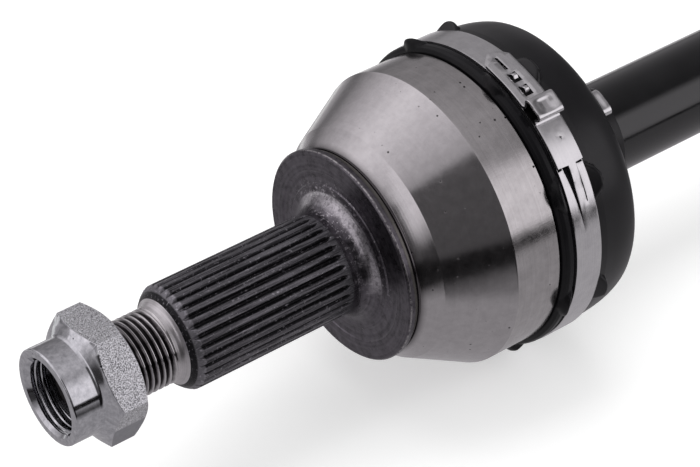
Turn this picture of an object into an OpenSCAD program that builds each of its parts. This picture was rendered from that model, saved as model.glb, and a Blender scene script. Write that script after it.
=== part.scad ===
// Half shaft of a front-wheel-drive car: a six-ball fixed joint at the wheel end,
// a tripod plunging joint at the gearbox end, and a solid bar between them.
// +X runs along the shaft from the hub nut to the gearbox spline, +Z is up,
// and the origin is on the axis, halfway along the whole shaft.

/* [Shaft] */
// Distance between the two joint centres
centre_distance = 385; // [340:1:460]
// Diameter of the exposed bar
bar_d = 30.4; // [28:0.1:33]
// Diameter of the splined bar ends
bar_spline_d = 26; // [24:0.1:27]
// Diameter of the thin necks beside each joint
bar_neck_d = 24.4; // [22:0.1:25]

/* [Wheel stub] */
// Length from the flange face to the threaded tip
stub_len = 97; // [92:1:110]
// Major diameter of the hub spline
hub_spline_d = 33; // [32:0.1:35]
// Number of hub spline teeth
hub_spline_teeth = 32; // [24:1:36]
// Depth of a hub spline tooth
hub_spline_depth = 1.2; // [0.8:0.1:1.5]
// Length from the flange face to the outer end of the spline
hub_spline_end = 63.6; // [58:0.1:65]
// Smooth length between the flange face and the spline grooves
hub_spline_start = 7.7; // [7.3:0.1:10]
// Pitch diameter of the nut thread
thread_d = 22.7; // [20:0.1:24]
// Length of the plain neck between thread and spline
stub_neck_len = 2.6; // [2:0.1:6]
// Diameter of that neck
stub_neck_d = 23.8; // [23.4:0.1:26]
// Diameter of the hub flange
flange_d = 68.2; // [64:0.1:72]
// Radius of the fillet between spline and flange
flange_fillet = 6; // [3:0.1:6.5]

/* [Hub nut] */
// Size across the flats
nut_flats = 36; // [34:0.1:38]
// Thickness of the hexagon
nut_hex_t = 7.7; // [6:0.1:10]
// Outer diameter of the collar
nut_collar_d = 30; // [28:0.1:32]
// Length of the collar
nut_collar_len = 12; // [9:0.1:14]
// How far the collar stands past the tip of the stub
nut_overhang = 5.7; // [3:0.1:7]
// Turn of the hexagon about the shaft
nut_turn = 54; // [0:1:59]

/* [Fixed joint] */
// Diameter of a ball
ball_d = 20.6; // [19.6:0.1:21]
// Radius of the circle through the ball centres
ball_circle_r = 31.7; // [31.2:0.1:32.6]
// Distance from the flange face to the joint centre
joint_offset = 40; // [39:0.1:44]
// Largest bend of the joint
max_bend = 45; // [36:1:45]
// Steel left outside the deepest part of a ball track
bell_wall = 5.5; // [5:0.1:7]
// Length of the bell from the joint centre to its mouth
bell_mouth = 22.5; // [22:0.1:23.5]
// Depth of the step where the boot sits
boot_step = 2; // [1.6:0.1:2.4]
// Width of the ball cage
cage_w = 31; // [29:0.1:32]
// Thickness of the ball cage
cage_t = 4.8; // [4:0.1:5.2]
// Width of the inner race
race_w = 24; // [22:0.1:25]
// Side room that each track leaves a ball
track_side = 1.1; // [1.1:0.05:1.4]

/* [Wheel end boot] */
// Thickness of the boot
boot_wall = 2.6; // [2.2:0.1:3]
// Width of the large clamp
clamp_w = 9.7; // [8:0.1:10]
// Thickness of both clamps' bands
band_t = 0.8; // [0.6:0.05:1]
// Distance from the mouth of the bell back to the large clamp
clamp_inset = 2; // [1.6:0.1:2.4]
// Length of the plain drum behind the large clamp
drum_len = 12.8; // [11:0.1:15]
// Length from the bell's mouth to the small clamp
boot_reach = 26.5; // [25:0.1:29]
// Number of locating lugs round the large end
lug_count = 8; // [4:1:10]
// Turn of the first lug about the shaft
lug_turn = 14; // [0:1:44]
// Turn of the large clamp's ear about the shaft
ear_turn = 120; // [0:1:359]

/* [Tripod joint] */
// Diameter of a roller across its crown
roller_d = 32; // [30:0.1:33]
// Width of a roller
roller_w = 14; // [12:0.1:14.5]
// Distance from the shaft axis to a roller's centre
roller_circle_r = 24; // [23.6:0.1:25]
// Diameter of a trunnion
trunnion_d = 21; // [20:0.1:21.6]
// Diameter of a needle
needle_d = 2.44; // [2.2:0.02:2.5]
// Needles in one roller
needle_count = 28; // [20:1:28]
// Half of the plunge
plunge = 15; // [12:0.5:17]
// Largest tilt of the joint
max_tilt = 13; // [8:1:13]
// Steel outside the roller tracks
housing_wall = 4.6; // [4:0.1:6]
// Radius of the open middle of the housing
housing_core_r = 25; // [24.4:0.1:25.6]
// Thickness of the housing's closed end
housing_base_t = 9.8; // [8:0.1:16]

/* [Gearbox stub] */
// Diameter of the seal journal
journal_d = 40; // [36:0.1:42]
// Length of the seal journal
journal_len = 18; // [14:0.1:24]
// Major diameter of the gearbox spline
box_spline_d = 28; // [26:0.1:30]
// Number of gearbox spline teeth
box_spline_teeth = 27; // [22:1:30]
// Length of the gearbox spline
box_spline_len = 40; // [32:0.1:48]

/* [Gearbox end boot] */
// Wall of the boot adapter over a lobe of the housing
adapter_wall = 2; // [1.6:0.1:3]
// Width of the adapter
adapter_w = 15; // [13.5:0.1:18]
// Number of folds
fold_count = 5; // [4:1:6]
// Length of the folded part
fold_len = 66; // [58:1:72]
// Depth of a fold
fold_depth = 7; // [5:0.1:8]

/* [Hidden] */
$fn = 96;

// Clearances
fit = 0.05;          // a running or seated fit, on the radius
free = 0.3;          // between curved faces that move past each other
eps = 0.01;          // overlap of solids that are one piece
ring_t = 1.4;        // thickness of a circlip
ring_grip = 1.4;     // how far a circlip stands out of its groove
edge = 1.2;          // chamfer on turned ends

// Stations along the shaft, counted from the hub flange face
ball_r = ball_d / 2;
track_r = ball_r + free;
bell_r = ball_circle_r + track_r + bell_wall;
seat_r = bell_r - boot_step;
mouth_x = joint_offset + bell_mouth;
stub_chamfer = 1.7;
thread_end = -hub_spline_end - stub_neck_len;
nut_face = -stub_len - nut_overhang + nut_collar_len + nut_hex_t;
cage_r = ball_circle_r + cage_t / 2;
track_sweep = max_bend / 2 + asin(track_r / ball_circle_r);
clamp_x0 = mouth_x - clamp_inset - clamp_w;
clamp_r = seat_r + fit + boot_wall + 1.7;
small_clamp_w = 7;
small_clamp_x0 = mouth_x + boot_reach;
tripod_x = joint_offset + centre_distance;
roller_r = roller_d / 2;
tilt_shift = roller_circle_r * (1 - cos(max_tilt)) / 2;
pocket_r = roller_r + tilt_shift + free;
trunnion_end = roller_circle_r + roller_w / 2 + 1.6;
pocket_top = trunnion_end + 2.2;
tilt_reach = roller_circle_r * cos(30) * sin(max_tilt);
cavity_half = roller_r + plunge + tilt_reach + 1;
open_half = roller_r + plunge + 3.5;
lobe_r = pocket_r + housing_wall;
lobe_at = roller_circle_r - 3.8;
lobe_top = pocket_top + 4.4;
flute_r = housing_core_r + 4;
housing_x0 = tripod_x - open_half;
base_x = tripod_x + cavity_half;
journal_x0 = base_x + housing_base_t;
journal_x1 = journal_x0 + journal_len;
box_end = journal_x1 + box_spline_len + 7;
adapter_r = lobe_top + fit + adapter_wall;
box_clamp_w = 9;
box_clamp_x0 = housing_x0 + 2.5;
overall = stub_len + nut_overhang + box_end;
flange_x = stub_len + nut_overhang - overall / 2;
ROLLERS = [90, 210, 330];

// Draws its children with the flange face at its place on the shaft
module placed() translate([flange_x, 0, 0]) children();

// Revolves an outline of [x, radius] points about the shaft
module turned(outline)
    rotate([0, 90, 0]) rotate_extrude() polygon([for (p = outline) [p[1], p[0]]]);

// Revolves an outline of [y, radius] points about the Y axis
module turned_y(outline)
    rotate([-90, 0, 0]) rotate_extrude() polygon([for (p = outline) [p[1], p[0]]]);

// A plain tube along the shaft, or a rod where the inner radius is 0
module tube(x0, x1, outer, inner = 0)
    turned([[x0, inner], [x0, outer], [x1, outer], [x1, inner]]);

// Extrudes a [y, z] shape along the shaft
module along(x0, length) translate([x0, 0, 0]) rotate([90, 0, 90]) linear_extrude(length) children();

// Repeats its children round the shaft
module around(count, start = 0) for (i = [0:count - 1]) rotate([start + 360 / count * i, 0, 0]) children();

// Cuts corners off a control polygon, which rounds a soft outline
function cut_corners(p) = concat([p[0]],
    [for (i = [0:len(p) - 2], t = [0.25, 0.75]) p[i] * (1 - t) + p[i + 1] * t], [p[len(p) - 1]]);

// Outline of a wall of even thickness along a centre line
function unit(v) = v / norm(v);
function side(p, i) = let (a = p[max(i - 1, 0)], b = p[min(i + 1, len(p) - 1)], d = unit(b - a)) [-d[1], d[0]];
function wall_outline(p, t) = concat([for (i = [0:len(p) - 1]) p[i] + side(p, i) * t / 2],
    [for (i = [len(p) - 1:-1:0]) p[i] - side(p, i) * t / 2]);

// Ring of teeth as one polygon: root, tip, tip, root for each tooth
module teeth_2d(count, tip_r, root_r) {
    pitch = 360 / count;
    polygon([for (i = [0:count - 1], c = [[root_r, -0.34], [tip_r, -0.2], [tip_r, 0.2], [root_r, 0.34]])
        c[0] * [cos(pitch * (i + c[1])), sin(pitch * (i + c[1]))]]);
}

// Splined length whose grooves run out into the full diameter at the x1 end
module spline(x0, x1, count, tip_r, depth) {
    root_r = tip_r - depth;
    run_out = 3 * depth;
    intersection() {
        turned([[x0, 0], [x0, root_r], [x0 + depth, tip_r], [x1, tip_r], [x1, 0]]);
        union() {
            along(x0, x1 - x0) teeth_2d(count, tip_r + eps, root_r);
            turned([[x0, 0], [x0, root_r], [x1 - run_out, root_r], [x1, tip_r], [x1, 0]]);
        }
    }
}

// Ball tracks: slots swept round the joint centre, a little further than the balls roll
module ball_tracks() translate([joint_offset, 0, 0]) around(6, 30) rotate([0, 0, 90 - track_sweep])
    rotate_extrude(angle = 2 * track_sweep) translate([ball_circle_r, 0]) {
        for (s = [-1, 1]) translate([0, s * track_side]) circle(track_r);
        square([2 * track_r, 2 * track_side], center = true);
    }

// A zone of a ball about the joint centre, from x0 to x1, hollow where inner is set
module ball_zone(r, x0, x1, inner = 0)
    translate([joint_offset, 0, 0]) rotate([0, 90, 0]) rotate_extrude() intersection() {
        difference() {
            circle(r);
            circle(inner);
        }
        translate([0, x0]) square([r + 1, x1 - x0]);
    }

// Hexagon nut with a plain collar, bored to the thread's pitch diameter
module hub_nut() color("silver") placed() {
    corner_r = nut_flats / 2 / cos(30);
    hex_x0 = nut_face - nut_hex_t;
    face_r = nut_flats / 2 * 0.96;
    bevel = (corner_r - face_r) * 0.6;
    bore_r = thread_d / 2 + fit;
    difference() {
        union() {
            intersection() {
                along(hex_x0, nut_hex_t) rotate(nut_turn) circle(corner_r, $fn = 6);
                turned([[hex_x0, 0], [hex_x0, face_r], [hex_x0 + bevel, corner_r + eps],
                    [nut_face - bevel, corner_r + eps], [nut_face, face_r], [nut_face, 0]]);
            }
            turned([[hex_x0 - nut_collar_len, 0], [hex_x0 - nut_collar_len, nut_collar_d / 2 - 0.6],
                [hex_x0 - nut_collar_len + 0.6, nut_collar_d / 2], [hex_x0 + eps, nut_collar_d / 2], [hex_x0 + eps, 0]]);
        }
        tube(hex_x0 - nut_collar_len - 1, nut_face + 1, bore_r);
        turned([[hex_x0 - nut_collar_len - eps, 0], [hex_x0 - nut_collar_len - eps, bore_r + 1.3],
            [hex_x0 - nut_collar_len + 1.3, bore_r - eps], [hex_x0 - nut_collar_len + 1.3, 0]]);
        turned([[nut_face + eps, 0], [nut_face + eps, bore_r + 1], [nut_face - 1, bore_r - eps], [nut_face - 1, 0]]);
    }
}

// Threaded and splined stub, turned flange, and bell with its ball tracks
module stub_outline() {
    tip_r = hub_spline_d / 2;
    thread_r = thread_d / 2;
    x1 = -hub_spline_start;
    difference() {
        turned([[-stub_len, 0], [-stub_len, thread_r - edge], [-stub_len + edge, thread_r],
            [thread_end, thread_r], [thread_end, stub_neck_d / 2], [-hub_spline_end + eps, stub_neck_d / 2],
            [-hub_spline_end + eps, 0]]);
        turned([[-stub_len - 1, 0], [-stub_len - 1, 3.2], [-stub_len + 2.4, 1.2], [-stub_len + 5, 0]]);
    }
    intersection() {
        spline(-hub_spline_end, x1, hub_spline_teeth, tip_r, hub_spline_depth);
        turned([[-hub_spline_end, 0], [-hub_spline_end, tip_r - 2.2 * stub_chamfer],
            [-hub_spline_end + 0.3 * stub_chamfer, tip_r - 1.4 * stub_chamfer],
            [-hub_spline_end + stub_chamfer, tip_r - 0.6 * stub_chamfer],
            [-hub_spline_end + 2.1 * stub_chamfer, tip_r + eps], [0, tip_r + eps], [0, 0]]);
    }
    rotate([0, 90, 0]) rotate_extrude() {
        translate([0, x1 - eps]) square([tip_r, eps - x1]);
        difference() {
            translate([0, -flange_fillet]) square([tip_r + flange_fillet, flange_fillet + eps]);
            translate([tip_r + flange_fillet, -flange_fillet]) circle(flange_fillet);
        }
    }
}

// Radius of the mouth's flare, which the bar just clears at the largest bend
function flare_r(dx) = dx * tan(max_bend) + (bar_spline_d / 2 + 1.85) / cos(max_bend);

module outer_race() color("dimgray") placed() {
    rim = flange_d / 2;
    cone_x = 29.5 * joint_offset / 40;
    floor_x = -(ball_circle_r - 3.7);
    difference() {
        union() {
            stub_outline();
            turned([[0, 0], [0, rim * 0.68], [0.4, rim * 0.69], [0.4, rim * 0.81], [0, rim * 0.82],
                [0, rim - 0.7], [0.7, rim], [2.2, rim], [2.6, rim - 0.9], [4.1, rim - 0.9], [4.5, rim + 0.5],
                [5.3, rim + 0.7], [5.7, rim + 0.1], [6.4, rim + 0.4], [6.9, rim + 1.6],
                [10.1, rim + 3.2], [10.2, rim + 3.4], [cone_x, bell_r - 0.2], [cone_x + 0.3, bell_r],
                [clamp_x0 - 4.6, bell_r], [clamp_x0 - 4.3, bell_r - 0.3], [clamp_x0 - 4.3, seat_r],
                [clamp_x0 - 0.6, seat_r], [clamp_x0, seat_r - 0.9], [clamp_x0 + clamp_w, seat_r - 0.9],
                [clamp_x0 + clamp_w + 0.6, seat_r], [mouth_x - 0.5, seat_r], [mouth_x, seat_r - 0.5], [mouth_x, 0]]);
        }
        ball_zone(cage_r + free, floor_x, bell_mouth + 1);
        ball_tracks();
        turned([[joint_offset + 9, 0], [joint_offset + 9, flare_r(9)], [mouth_x + 1, flare_r(bell_mouth + 1)],
            [mouth_x + 1, 0]]);
    }
}

// Spherical cage with one window for each ball
module ball_cage() color("gray") placed() {
    window_half = ball_r + 0.1;
    window_len = 26;
    corner = 5;
    difference() {
        ball_zone(cage_r, -cage_w / 2, cage_w / 2, cage_r - cage_t);
        translate([joint_offset, 0, 0]) around(6, 30) rotate([-90, 0, 0]) linear_extrude(cage_r + 5) {
            square([2 * window_half, window_len - 2 * corner], center = true);
            square([2 * window_half - 2 * corner, window_len], center = true);
            for (x = [-1, 1], y = [-1, 1])
                translate([x * (window_half - corner), y * (window_len / 2 - corner)]) circle(corner);
        }
    }
}

module race_balls() color("silver") placed() translate([joint_offset, 0, 0])
    around(6, 30) translate([0, ball_circle_r, 0]) sphere(ball_r);

module inner_race() color("darkgray") placed() {
    difference() {
        ball_zone(cage_r - cage_t - free, -race_w / 2, race_w / 2);
        ball_tracks();
        tube(joint_offset - race_w, joint_offset + race_w, bar_spline_d / 2 + fit);
    }
}

// A split ring in a groove of the given floor radius
module circlip(x, groove_r, outer_r) difference() {
    tube(x + fit, x + ring_t - fit, outer_r, groove_r + fit);
    translate([x - 1, -1.5, 0]) cube([ring_t + 2, 3, outer_r + 5]);
}

clip_floor = bar_spline_d / 2 - 1.6;

module inner_race_circlip() color("gray") placed()
    circlip(joint_offset - race_w / 2 - ring_t, clip_floor, bar_spline_d / 2 + ring_grip);

// Bar with splined ends, thin necks, boot seats and circlip grooves
module bar_shaft() color([0.1, 0.1, 0.11]) placed() {
    bar_r = bar_d / 2;
    neck_r = bar_neck_d / 2;
    spline_r = bar_spline_d / 2;
    clip_x = joint_offset - race_w / 2 - ring_t;
    seat_x = small_clamp_x0 - 2;
    seat_end = small_clamp_x0 + small_clamp_w + 2;
    far_seat = box_small_x0 - 2;
    far_seat_end = box_small_x0 + small_clamp_w + 3;
    spider_half = hub_half;
    turned([[clip_x - 2.6, 0], [clip_x - 2.6, spline_r - edge], [clip_x - 2.6 + edge, spline_r],
        [clip_x, spline_r], [clip_x, clip_floor], [clip_x + ring_t, clip_floor], [clip_x + ring_t, spline_r],
        [joint_offset + race_w / 2, spline_r], [joint_offset + race_w / 2 + 2, neck_r],
        [seat_x - 1, neck_r], [seat_x + 1.8, bar_r], [small_clamp_x0, bar_r], [small_clamp_x0 + 0.4, bar_r - 0.4],
        [small_clamp_x0 + small_clamp_w - 0.4, bar_r - 0.4], [small_clamp_x0 + small_clamp_w, bar_r],
        [seat_end, bar_r], [far_seat, bar_r], [box_small_x0, bar_r], [box_small_x0 + 0.4, bar_r - 0.4],
        [box_small_x0 + small_clamp_w - 0.4, bar_r - 0.4], [box_small_x0 + small_clamp_w, bar_r],
        [far_seat_end, bar_r], [far_seat_end + 6, neck_r], [tripod_x - spider_half - ring_t - 6, neck_r],
        [tripod_x - spider_half - ring_t - 4, spline_r], [tripod_x - spider_half - ring_t, spline_r],
        [tripod_x - spider_half - ring_t, clip_floor], [tripod_x - spider_half, clip_floor],
        [tripod_x - spider_half, spline_r], [tripod_x + spider_half, spline_r],
        [tripod_x + spider_half, clip_floor], [tripod_x + spider_half + ring_t, clip_floor],
        [tripod_x + spider_half + ring_t, spline_r], [tripod_x + spider_half + ring_t + 1.4, spline_r],
        [tripod_x + spider_half + ring_t + 2.4, spline_r - 1], [tripod_x + spider_half + ring_t + 2.4, 0]]);
}

hub_half = 12;
hub_r = roller_circle_r - roller_w / 2 - 0.6;
ring_groove_r = trunnion_d / 2 - 0.9;
ring_seat = roller_circle_r + roller_w / 2 + 0.2;
trunnion_ring_t = 1;

// Three-armed spider with a journal for the needles on each arm
module tripod_spider() color("gray") placed() translate([tripod_x, 0, 0]) difference() {
    union() {
        turned([[-hub_half, 0], [-hub_half, hub_r - 2], [-hub_half + 2, hub_r], [hub_half - 2, hub_r],
            [hub_half, hub_r - 2], [hub_half, 0]]);
        for (a = ROLLERS) rotate([a, 0, 0])
            turned_y([[bar_spline_d / 2 + 1, 0], [bar_spline_d / 2 + 1, trunnion_d / 2 + 1],
                [hub_r + 0.3, trunnion_d / 2 + 1], [hub_r + 0.3, trunnion_d / 2], [ring_seat, trunnion_d / 2],
                [ring_seat, ring_groove_r], [ring_seat + trunnion_ring_t, ring_groove_r],
                [ring_seat + trunnion_ring_t, trunnion_d / 2 - 0.6], [trunnion_end, trunnion_d / 2 - 1.6],
                [trunnion_end, 0]]);
    }
    tube(-hub_half - 1, hub_half + 1, bar_spline_d / 2 + fit);
}

module spider_circlips() color("gray") placed() {
    circlip(tripod_x - hub_half - ring_t, clip_floor, bar_spline_d / 2 + ring_grip);
    circlip(tripod_x + hub_half, clip_floor, bar_spline_d / 2 + ring_grip);
}

needle_path = trunnion_d / 2 + needle_d / 2 + fit / 2;

// Crowned roller on the arm at the given angle
module roller(angle) color("silver") placed() translate([tripod_x, 0, 0]) rotate([angle, 0, 0]) {
    bore_r = needle_path + needle_d / 2 + fit / 2;
    translate([0, roller_circle_r, 0]) rotate([-90, 0, 0]) rotate_extrude() intersection() {
        circle(roller_r);
        translate([bore_r, -roller_w / 2]) square([roller_r, roller_w]);
    }
}

module roller_top() roller(ROLLERS[0]);
module roller_left() roller(ROLLERS[1]);
module roller_right() roller(ROLLERS[2]);

// One full ring of needles on the arm at the given angle
module needles(angle) color("gainsboro") placed() translate([tripod_x, 0, 0]) rotate([angle, 0, 0])
    for (i = [0:needle_count - 1]) rotate([0, 360 / needle_count * i, 0]) translate([needle_path, 0, 0])
        turned_y([[hub_r + 0.6, 0], [hub_r + 0.6, needle_d / 2], [ring_seat - 0.2, needle_d / 2], [ring_seat - 0.2, 0]]);

module needles_top() needles(ROLLERS[0]);
module needles_left() needles(ROLLERS[1]);
module needles_right() needles(ROLLERS[2]);

module trunnion_rings() color("gray") placed() translate([tripod_x, 0, 0]) for (a = ROLLERS)
    rotate([a, 0, 0]) turned_y([[ring_seat + fit, ring_groove_r + fit], [ring_seat + fit, needle_path + needle_d / 2 - 0.1],
        [ring_seat + trunnion_ring_t - fit, needle_path + needle_d / 2 - 0.1],
        [ring_seat + trunnion_ring_t - fit, ring_groove_r + fit]]);

// Outline of the three-lobed housing, with room added all round for the adapter
module housing_2d(room = 0) intersection() {
    circle(lobe_top + room);
    union() {
        circle(flute_r + room);
        for (a = ROLLERS) rotate(a) translate([lobe_at, 0]) circle(lobe_r + room);
    }
}

// Three roller tracks round an open middle
module tracks_2d() {
    circle(housing_core_r);
    for (a = ROLLERS) rotate(a) intersection() {
        translate([roller_circle_r, 0]) circle(pocket_r);
        translate([0, -pocket_r - 1]) square([pocket_top, 2 * pocket_r + 2]);
    }
}

module tripod_housing() color("dimgray") placed() {
    cup_end = base_x + 4;
    neck_x = journal_x0 - 2;
    box_r = box_spline_d / 2;
    groove_x = box_end - 5;
    difference() {
        union() {
            intersection() {
                along(housing_x0, cup_end - housing_x0) housing_2d();
                turned([[housing_x0, 0], [housing_x0, lobe_top - 1], [housing_x0 + 1, lobe_top + eps],
                    [cup_end - 6, lobe_top + eps], [cup_end, flute_r + 2], [cup_end, 0]]);
            }
            turned([[cup_end - eps, 0], [cup_end - eps, flute_r + 2], [neck_x - 2, journal_d / 2 + 3],
                [neck_x, journal_d / 2 + 3], [neck_x, journal_d / 2 - 0.6], [journal_x0, journal_d / 2 - 0.6],
                [journal_x0, journal_d / 2], [journal_x1 - edge, journal_d / 2], [journal_x1, journal_d / 2 - edge],
                [journal_x1, box_r + 1], [journal_x1 + 2, box_r + 1], [journal_x1 + 3, box_r - 1.2],
                [journal_x1 + 3, 0]]);
            difference() {
                mirror([1, 0, 0]) spline(-box_end, -journal_x1 - 2, box_spline_teeth, box_r, 1.1);
                tube(groove_x, groove_x + ring_t, box_r + 1, box_r - 1.6);
            }
        }
        along(housing_x0 - 1, open_half + cavity_half + 1) tracks_2d();
        tube(base_x - 1, base_x + 2.5, bar_spline_d / 2 + 4);
        turned([[box_end + 1, 0], [box_end + 1, 3.2], [box_end - 2.4, 1.2], [box_end - 5, 0]]);
    }
}

// Moulded adapter that fills the flutes, so that the boot seats on a round surface
module boot_adapter() color([0.12, 0.12, 0.13]) placed() difference() {
    union() {
        tube(housing_x0 + 0.5, housing_x0 + adapter_w, adapter_r);
        tube(housing_x0 + adapter_w - 2, housing_x0 + adapter_w, adapter_r + 2.4);
    }
    along(housing_x0 - 1, adapter_w + 2) housing_2d(fit);
    along(housing_x0 + 2.5, adapter_w) for (a = ROLLERS) rotate(a + 60) for (s = [-1, 1])
        translate([flute_r + 4.6, s * 5.4]) circle(2.2);
}

// Stepless ear clamp: band, overlapping tail with hook windows, pinched ear, and tongue
module ear_clamp(x0, width, inner_r, turn, ear_h = 3.2) {
    outer_r = inner_r + band_t;
    tail_t = band_t * 0.8;
    ear_half = 3.6;
    tail_deg = 27 * 50 / outer_r;
    nose_r = width / 2 + 0.5;
    nose_deg = asin(nose_r / outer_r);
    module sector(r0, r1, a0, a1, half_w = width / 2) translate([x0 + width / 2, 0, 0]) intersection() {
        tube(-half_w, half_w, r1, r0);
        along(-half_w, 2 * half_w) polygon([[0, 0], for (i = [0:4]) let (a = turn + a0 + (a1 - a0) * i / 4)
            2 * r1 * [cos(a), sin(a)]]);
    }
    module ear_2d(grow) {
        for (s = [-1, 1]) translate([s * (ear_half - 1.5), ear_h - 1.5]) circle(1.5 + grow);
        square([2 * ear_half - 3, 2 * ear_h + 2 * grow], center = true);
        translate([-ear_half - grow, -3]) square([2 * ear_half + 2 * grow, 3 + ear_h - 1.5]);
    }
    window = [2.6, 1.6];
    difference() {
        union() {
            tube(x0, x0 + width, outer_r, inner_r);
            sector(outer_r - eps, outer_r + tail_t, nose_deg - tail_deg, 20.5 * 50 / outer_r);
            intersection() {
                sector(outer_r - eps, outer_r + tail_t, -tail_deg - 2, nose_deg - tail_deg + 0.5);
                rotate([turn - tail_deg + nose_deg, 0, 0]) translate([x0 + width / 2, 0, 0])
                    rotate([-90, 0, 0]) cylinder(r = nose_r, h = outer_r + 5);
            }
        }
        // Two hook windows and one guide slot through the tail
        for (k = [[-14.5, window[0], window[1]], [-8, window[0], window[1]], [-22.5, 0.9, 4]])
            rotate([turn + k[0] * 50 / outer_r, 0, 0])
                translate([x0 + width / 2 - k[1] / 2, outer_r - 0.3, -k[2] / 2]) cube([k[1], 3, k[2]]);
        // Slits beside the tongue
        for (s = [-1, 1]) rotate([turn + 13 * 50 / outer_r, 0, 0])
            translate([x0 + width / 2 + s * 1.9 - 0.45, outer_r + tail_t * 0.25, -6]) cube([0.9, 3, 12]);
    }
    rotate([turn, 0, 0]) translate([0, outer_r, 0]) difference() {
        along(x0, width) rotate(-90) ear_2d(0);
        along(x0 - 1, width + 2) rotate(-90) ear_2d(-0.7);
        translate([0, -outer_r, 0]) tube(x0 - 1, x0 + width + 1, outer_r - eps);
    }
}

// Soft boot: bead and lip on the bell, plain drum, one deep fold, and a neck on the bar
module wheel_boot() color([0.13, 0.13, 0.14]) placed() {
    lip_x = clamp_x0 - 4.2;
    lip_r = clamp_r - 0.1;
    floor_r = clamp_r - 0.1;
    drum_r = clamp_r - boot_wall / 2 - 0.9;
    neck_r = bar_d / 2 + fit;
    neck_x = small_clamp_x0 - 2.5;
    neck_end = small_clamp_x0 + small_clamp_w + 4.5;
    back_x = mouth_x + drum_len;
    line = cut_corners(cut_corners([[mouth_x + 0.6, drum_r], [back_x - 3, drum_r - 0.7],
        [back_x + 3, drum_r - 3], [back_x + 1.2, drum_r - 15], [back_x - 1.4, neck_r + 9],
        [back_x + 2, neck_r + 7], [back_x + 4.2, neck_r + 16], [back_x + 7.4, neck_r + 13],
        [back_x + 5.6, neck_r + 3], [neck_x + 1.5, neck_r + boot_wall / 2]]));
    turned([[lip_x, seat_r + fit], [lip_x, lip_r - 1.6], [lip_x + 0.5, lip_r - 0.5], [lip_x + 1.6, lip_r],
        [clamp_x0 - 0.4, lip_r], [clamp_x0 - 0.1, floor_r - 0.9], [clamp_x0 + clamp_w + 0.1, floor_r - 0.9],
        [clamp_x0 + clamp_w + 0.4, drum_r + boot_wall / 2], [mouth_x + 1.8, drum_r + boot_wall / 2],
        [mouth_x + 1.8, drum_r - boot_wall / 2], [mouth_x + 0.2, seat_r + fit - 1.2],
        [mouth_x + 0.2, seat_r + fit], [clamp_x0 + clamp_w + 0.6, seat_r + fit],
        [clamp_x0 + clamp_w, seat_r - 0.9 + fit], [clamp_x0, seat_r - 0.9 + fit], [clamp_x0 - 0.6, seat_r + fit]]);
    turned(wall_outline(line, boot_wall));
    turned([[neck_x, neck_r], [neck_x, neck_r + boot_wall], [small_clamp_x0 - 0.1, neck_r + boot_wall],
        [small_clamp_x0 - 0.1, neck_r + boot_wall - 0.4], [small_clamp_x0 + small_clamp_w + 0.1, neck_r + boot_wall - 0.4],
        [small_clamp_x0 + small_clamp_w + 0.1, neck_r + boot_wall + 0.3], [neck_end, neck_r + boot_wall - 0.6],
        [neck_end, neck_r]]);
    // Four stops behind the small clamp
    intersection() {
        tube(small_clamp_x0 + small_clamp_w + 0.1, neck_end - 0.2, neck_r + boot_wall + 2.6, neck_r + 1);
        around(4, ear_turn - 20) translate([small_clamp_x0, 0, 0]) rotate([-90, 0, 0])
            translate([small_clamp_w, 0, 0]) cylinder(r = 3.4, h = 40);
    }
    for (s = [-1, 1]) {
        edge_x = s < 0 ? clamp_x0 - 0.2 : clamp_x0 + clamp_w + 0.2;
        intersection() {
            tube(min(edge_x, edge_x + s * 4.2), max(edge_x, edge_x + s * 4.2), clamp_r + 1.5, clamp_r - 1.6);
            around(lug_count, lug_turn) rotate([-90, 0, 0]) translate([edge_x - s * 2.5, 0, clamp_r - 5])
                cylinder(r = 6.5, h = 12);
        }
    }
}

module wheel_boot_clamp_large() color("silver") placed() ear_clamp(clamp_x0, clamp_w, clamp_r - 0.95, ear_turn);

module wheel_boot_clamp_small() color("silver") placed()
    ear_clamp(small_clamp_x0, small_clamp_w, bar_d / 2 + 2 * fit + boot_wall - 0.35, ear_turn - 4, 5.4);

box_small_x0 = housing_x0 - fold_len - small_clamp_w - 6;
box_small_r = bar_d / 2 + fit;

// Folded boot over the adapter and the bar
module box_boot() color([0.13, 0.13, 0.14]) placed() {
    wall = 2.2;
    large_r = adapter_r + fit;
    fold_x0 = housing_x0 - fold_len - 1;
    steps = 10 * fold_count;
    start_r = box_small_r + wall / 2 + fold_depth / 2;
    line = [for (i = [0:steps]) let (t = i / steps)
        [fold_x0 + (fold_len - 1) * t, start_r + (large_r + wall / 2 - start_r) * t
            - fold_depth / 2 * cos(360 * fold_count * t) * (1 - 0.35 * t)
            + fold_depth / 2 * (1 - 0.35) * t]];
    turned(wall_outline(line, wall));
    turned([[housing_x0 - 3.4, large_r + 0.4], [housing_x0 - 3.4, large_r + wall], [box_clamp_x0 - 0.1, large_r + wall],
        [box_clamp_x0 - 0.1, large_r + wall - 0.5], [box_clamp_x0 + box_clamp_w + 0.1, large_r + wall - 0.5],
        [box_clamp_x0 + box_clamp_w + 0.1, large_r + wall], [housing_x0 + adapter_w - 2.1, large_r + wall],
        [housing_x0 + adapter_w - 2.1, large_r], [housing_x0 - 0.1, large_r], [housing_x0 - 0.1, large_r - 4],
        [housing_x0 - 1.3, large_r - 4], [housing_x0 - 1.3, large_r + 0.4]]);
    turned([[box_small_x0 - 2, box_small_r], [box_small_x0 - 2, box_small_r + wall],
        [box_small_x0 - 0.1, box_small_r + wall], [box_small_x0 - 0.1, box_small_r + wall - 0.4],
        [box_small_x0 + small_clamp_w + 0.1, box_small_r + wall - 0.4],
        [box_small_x0 + small_clamp_w + 0.1, box_small_r + wall], [fold_x0 + 0.8, box_small_r + wall],
        [fold_x0 + 0.8, box_small_r]]);
}

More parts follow.
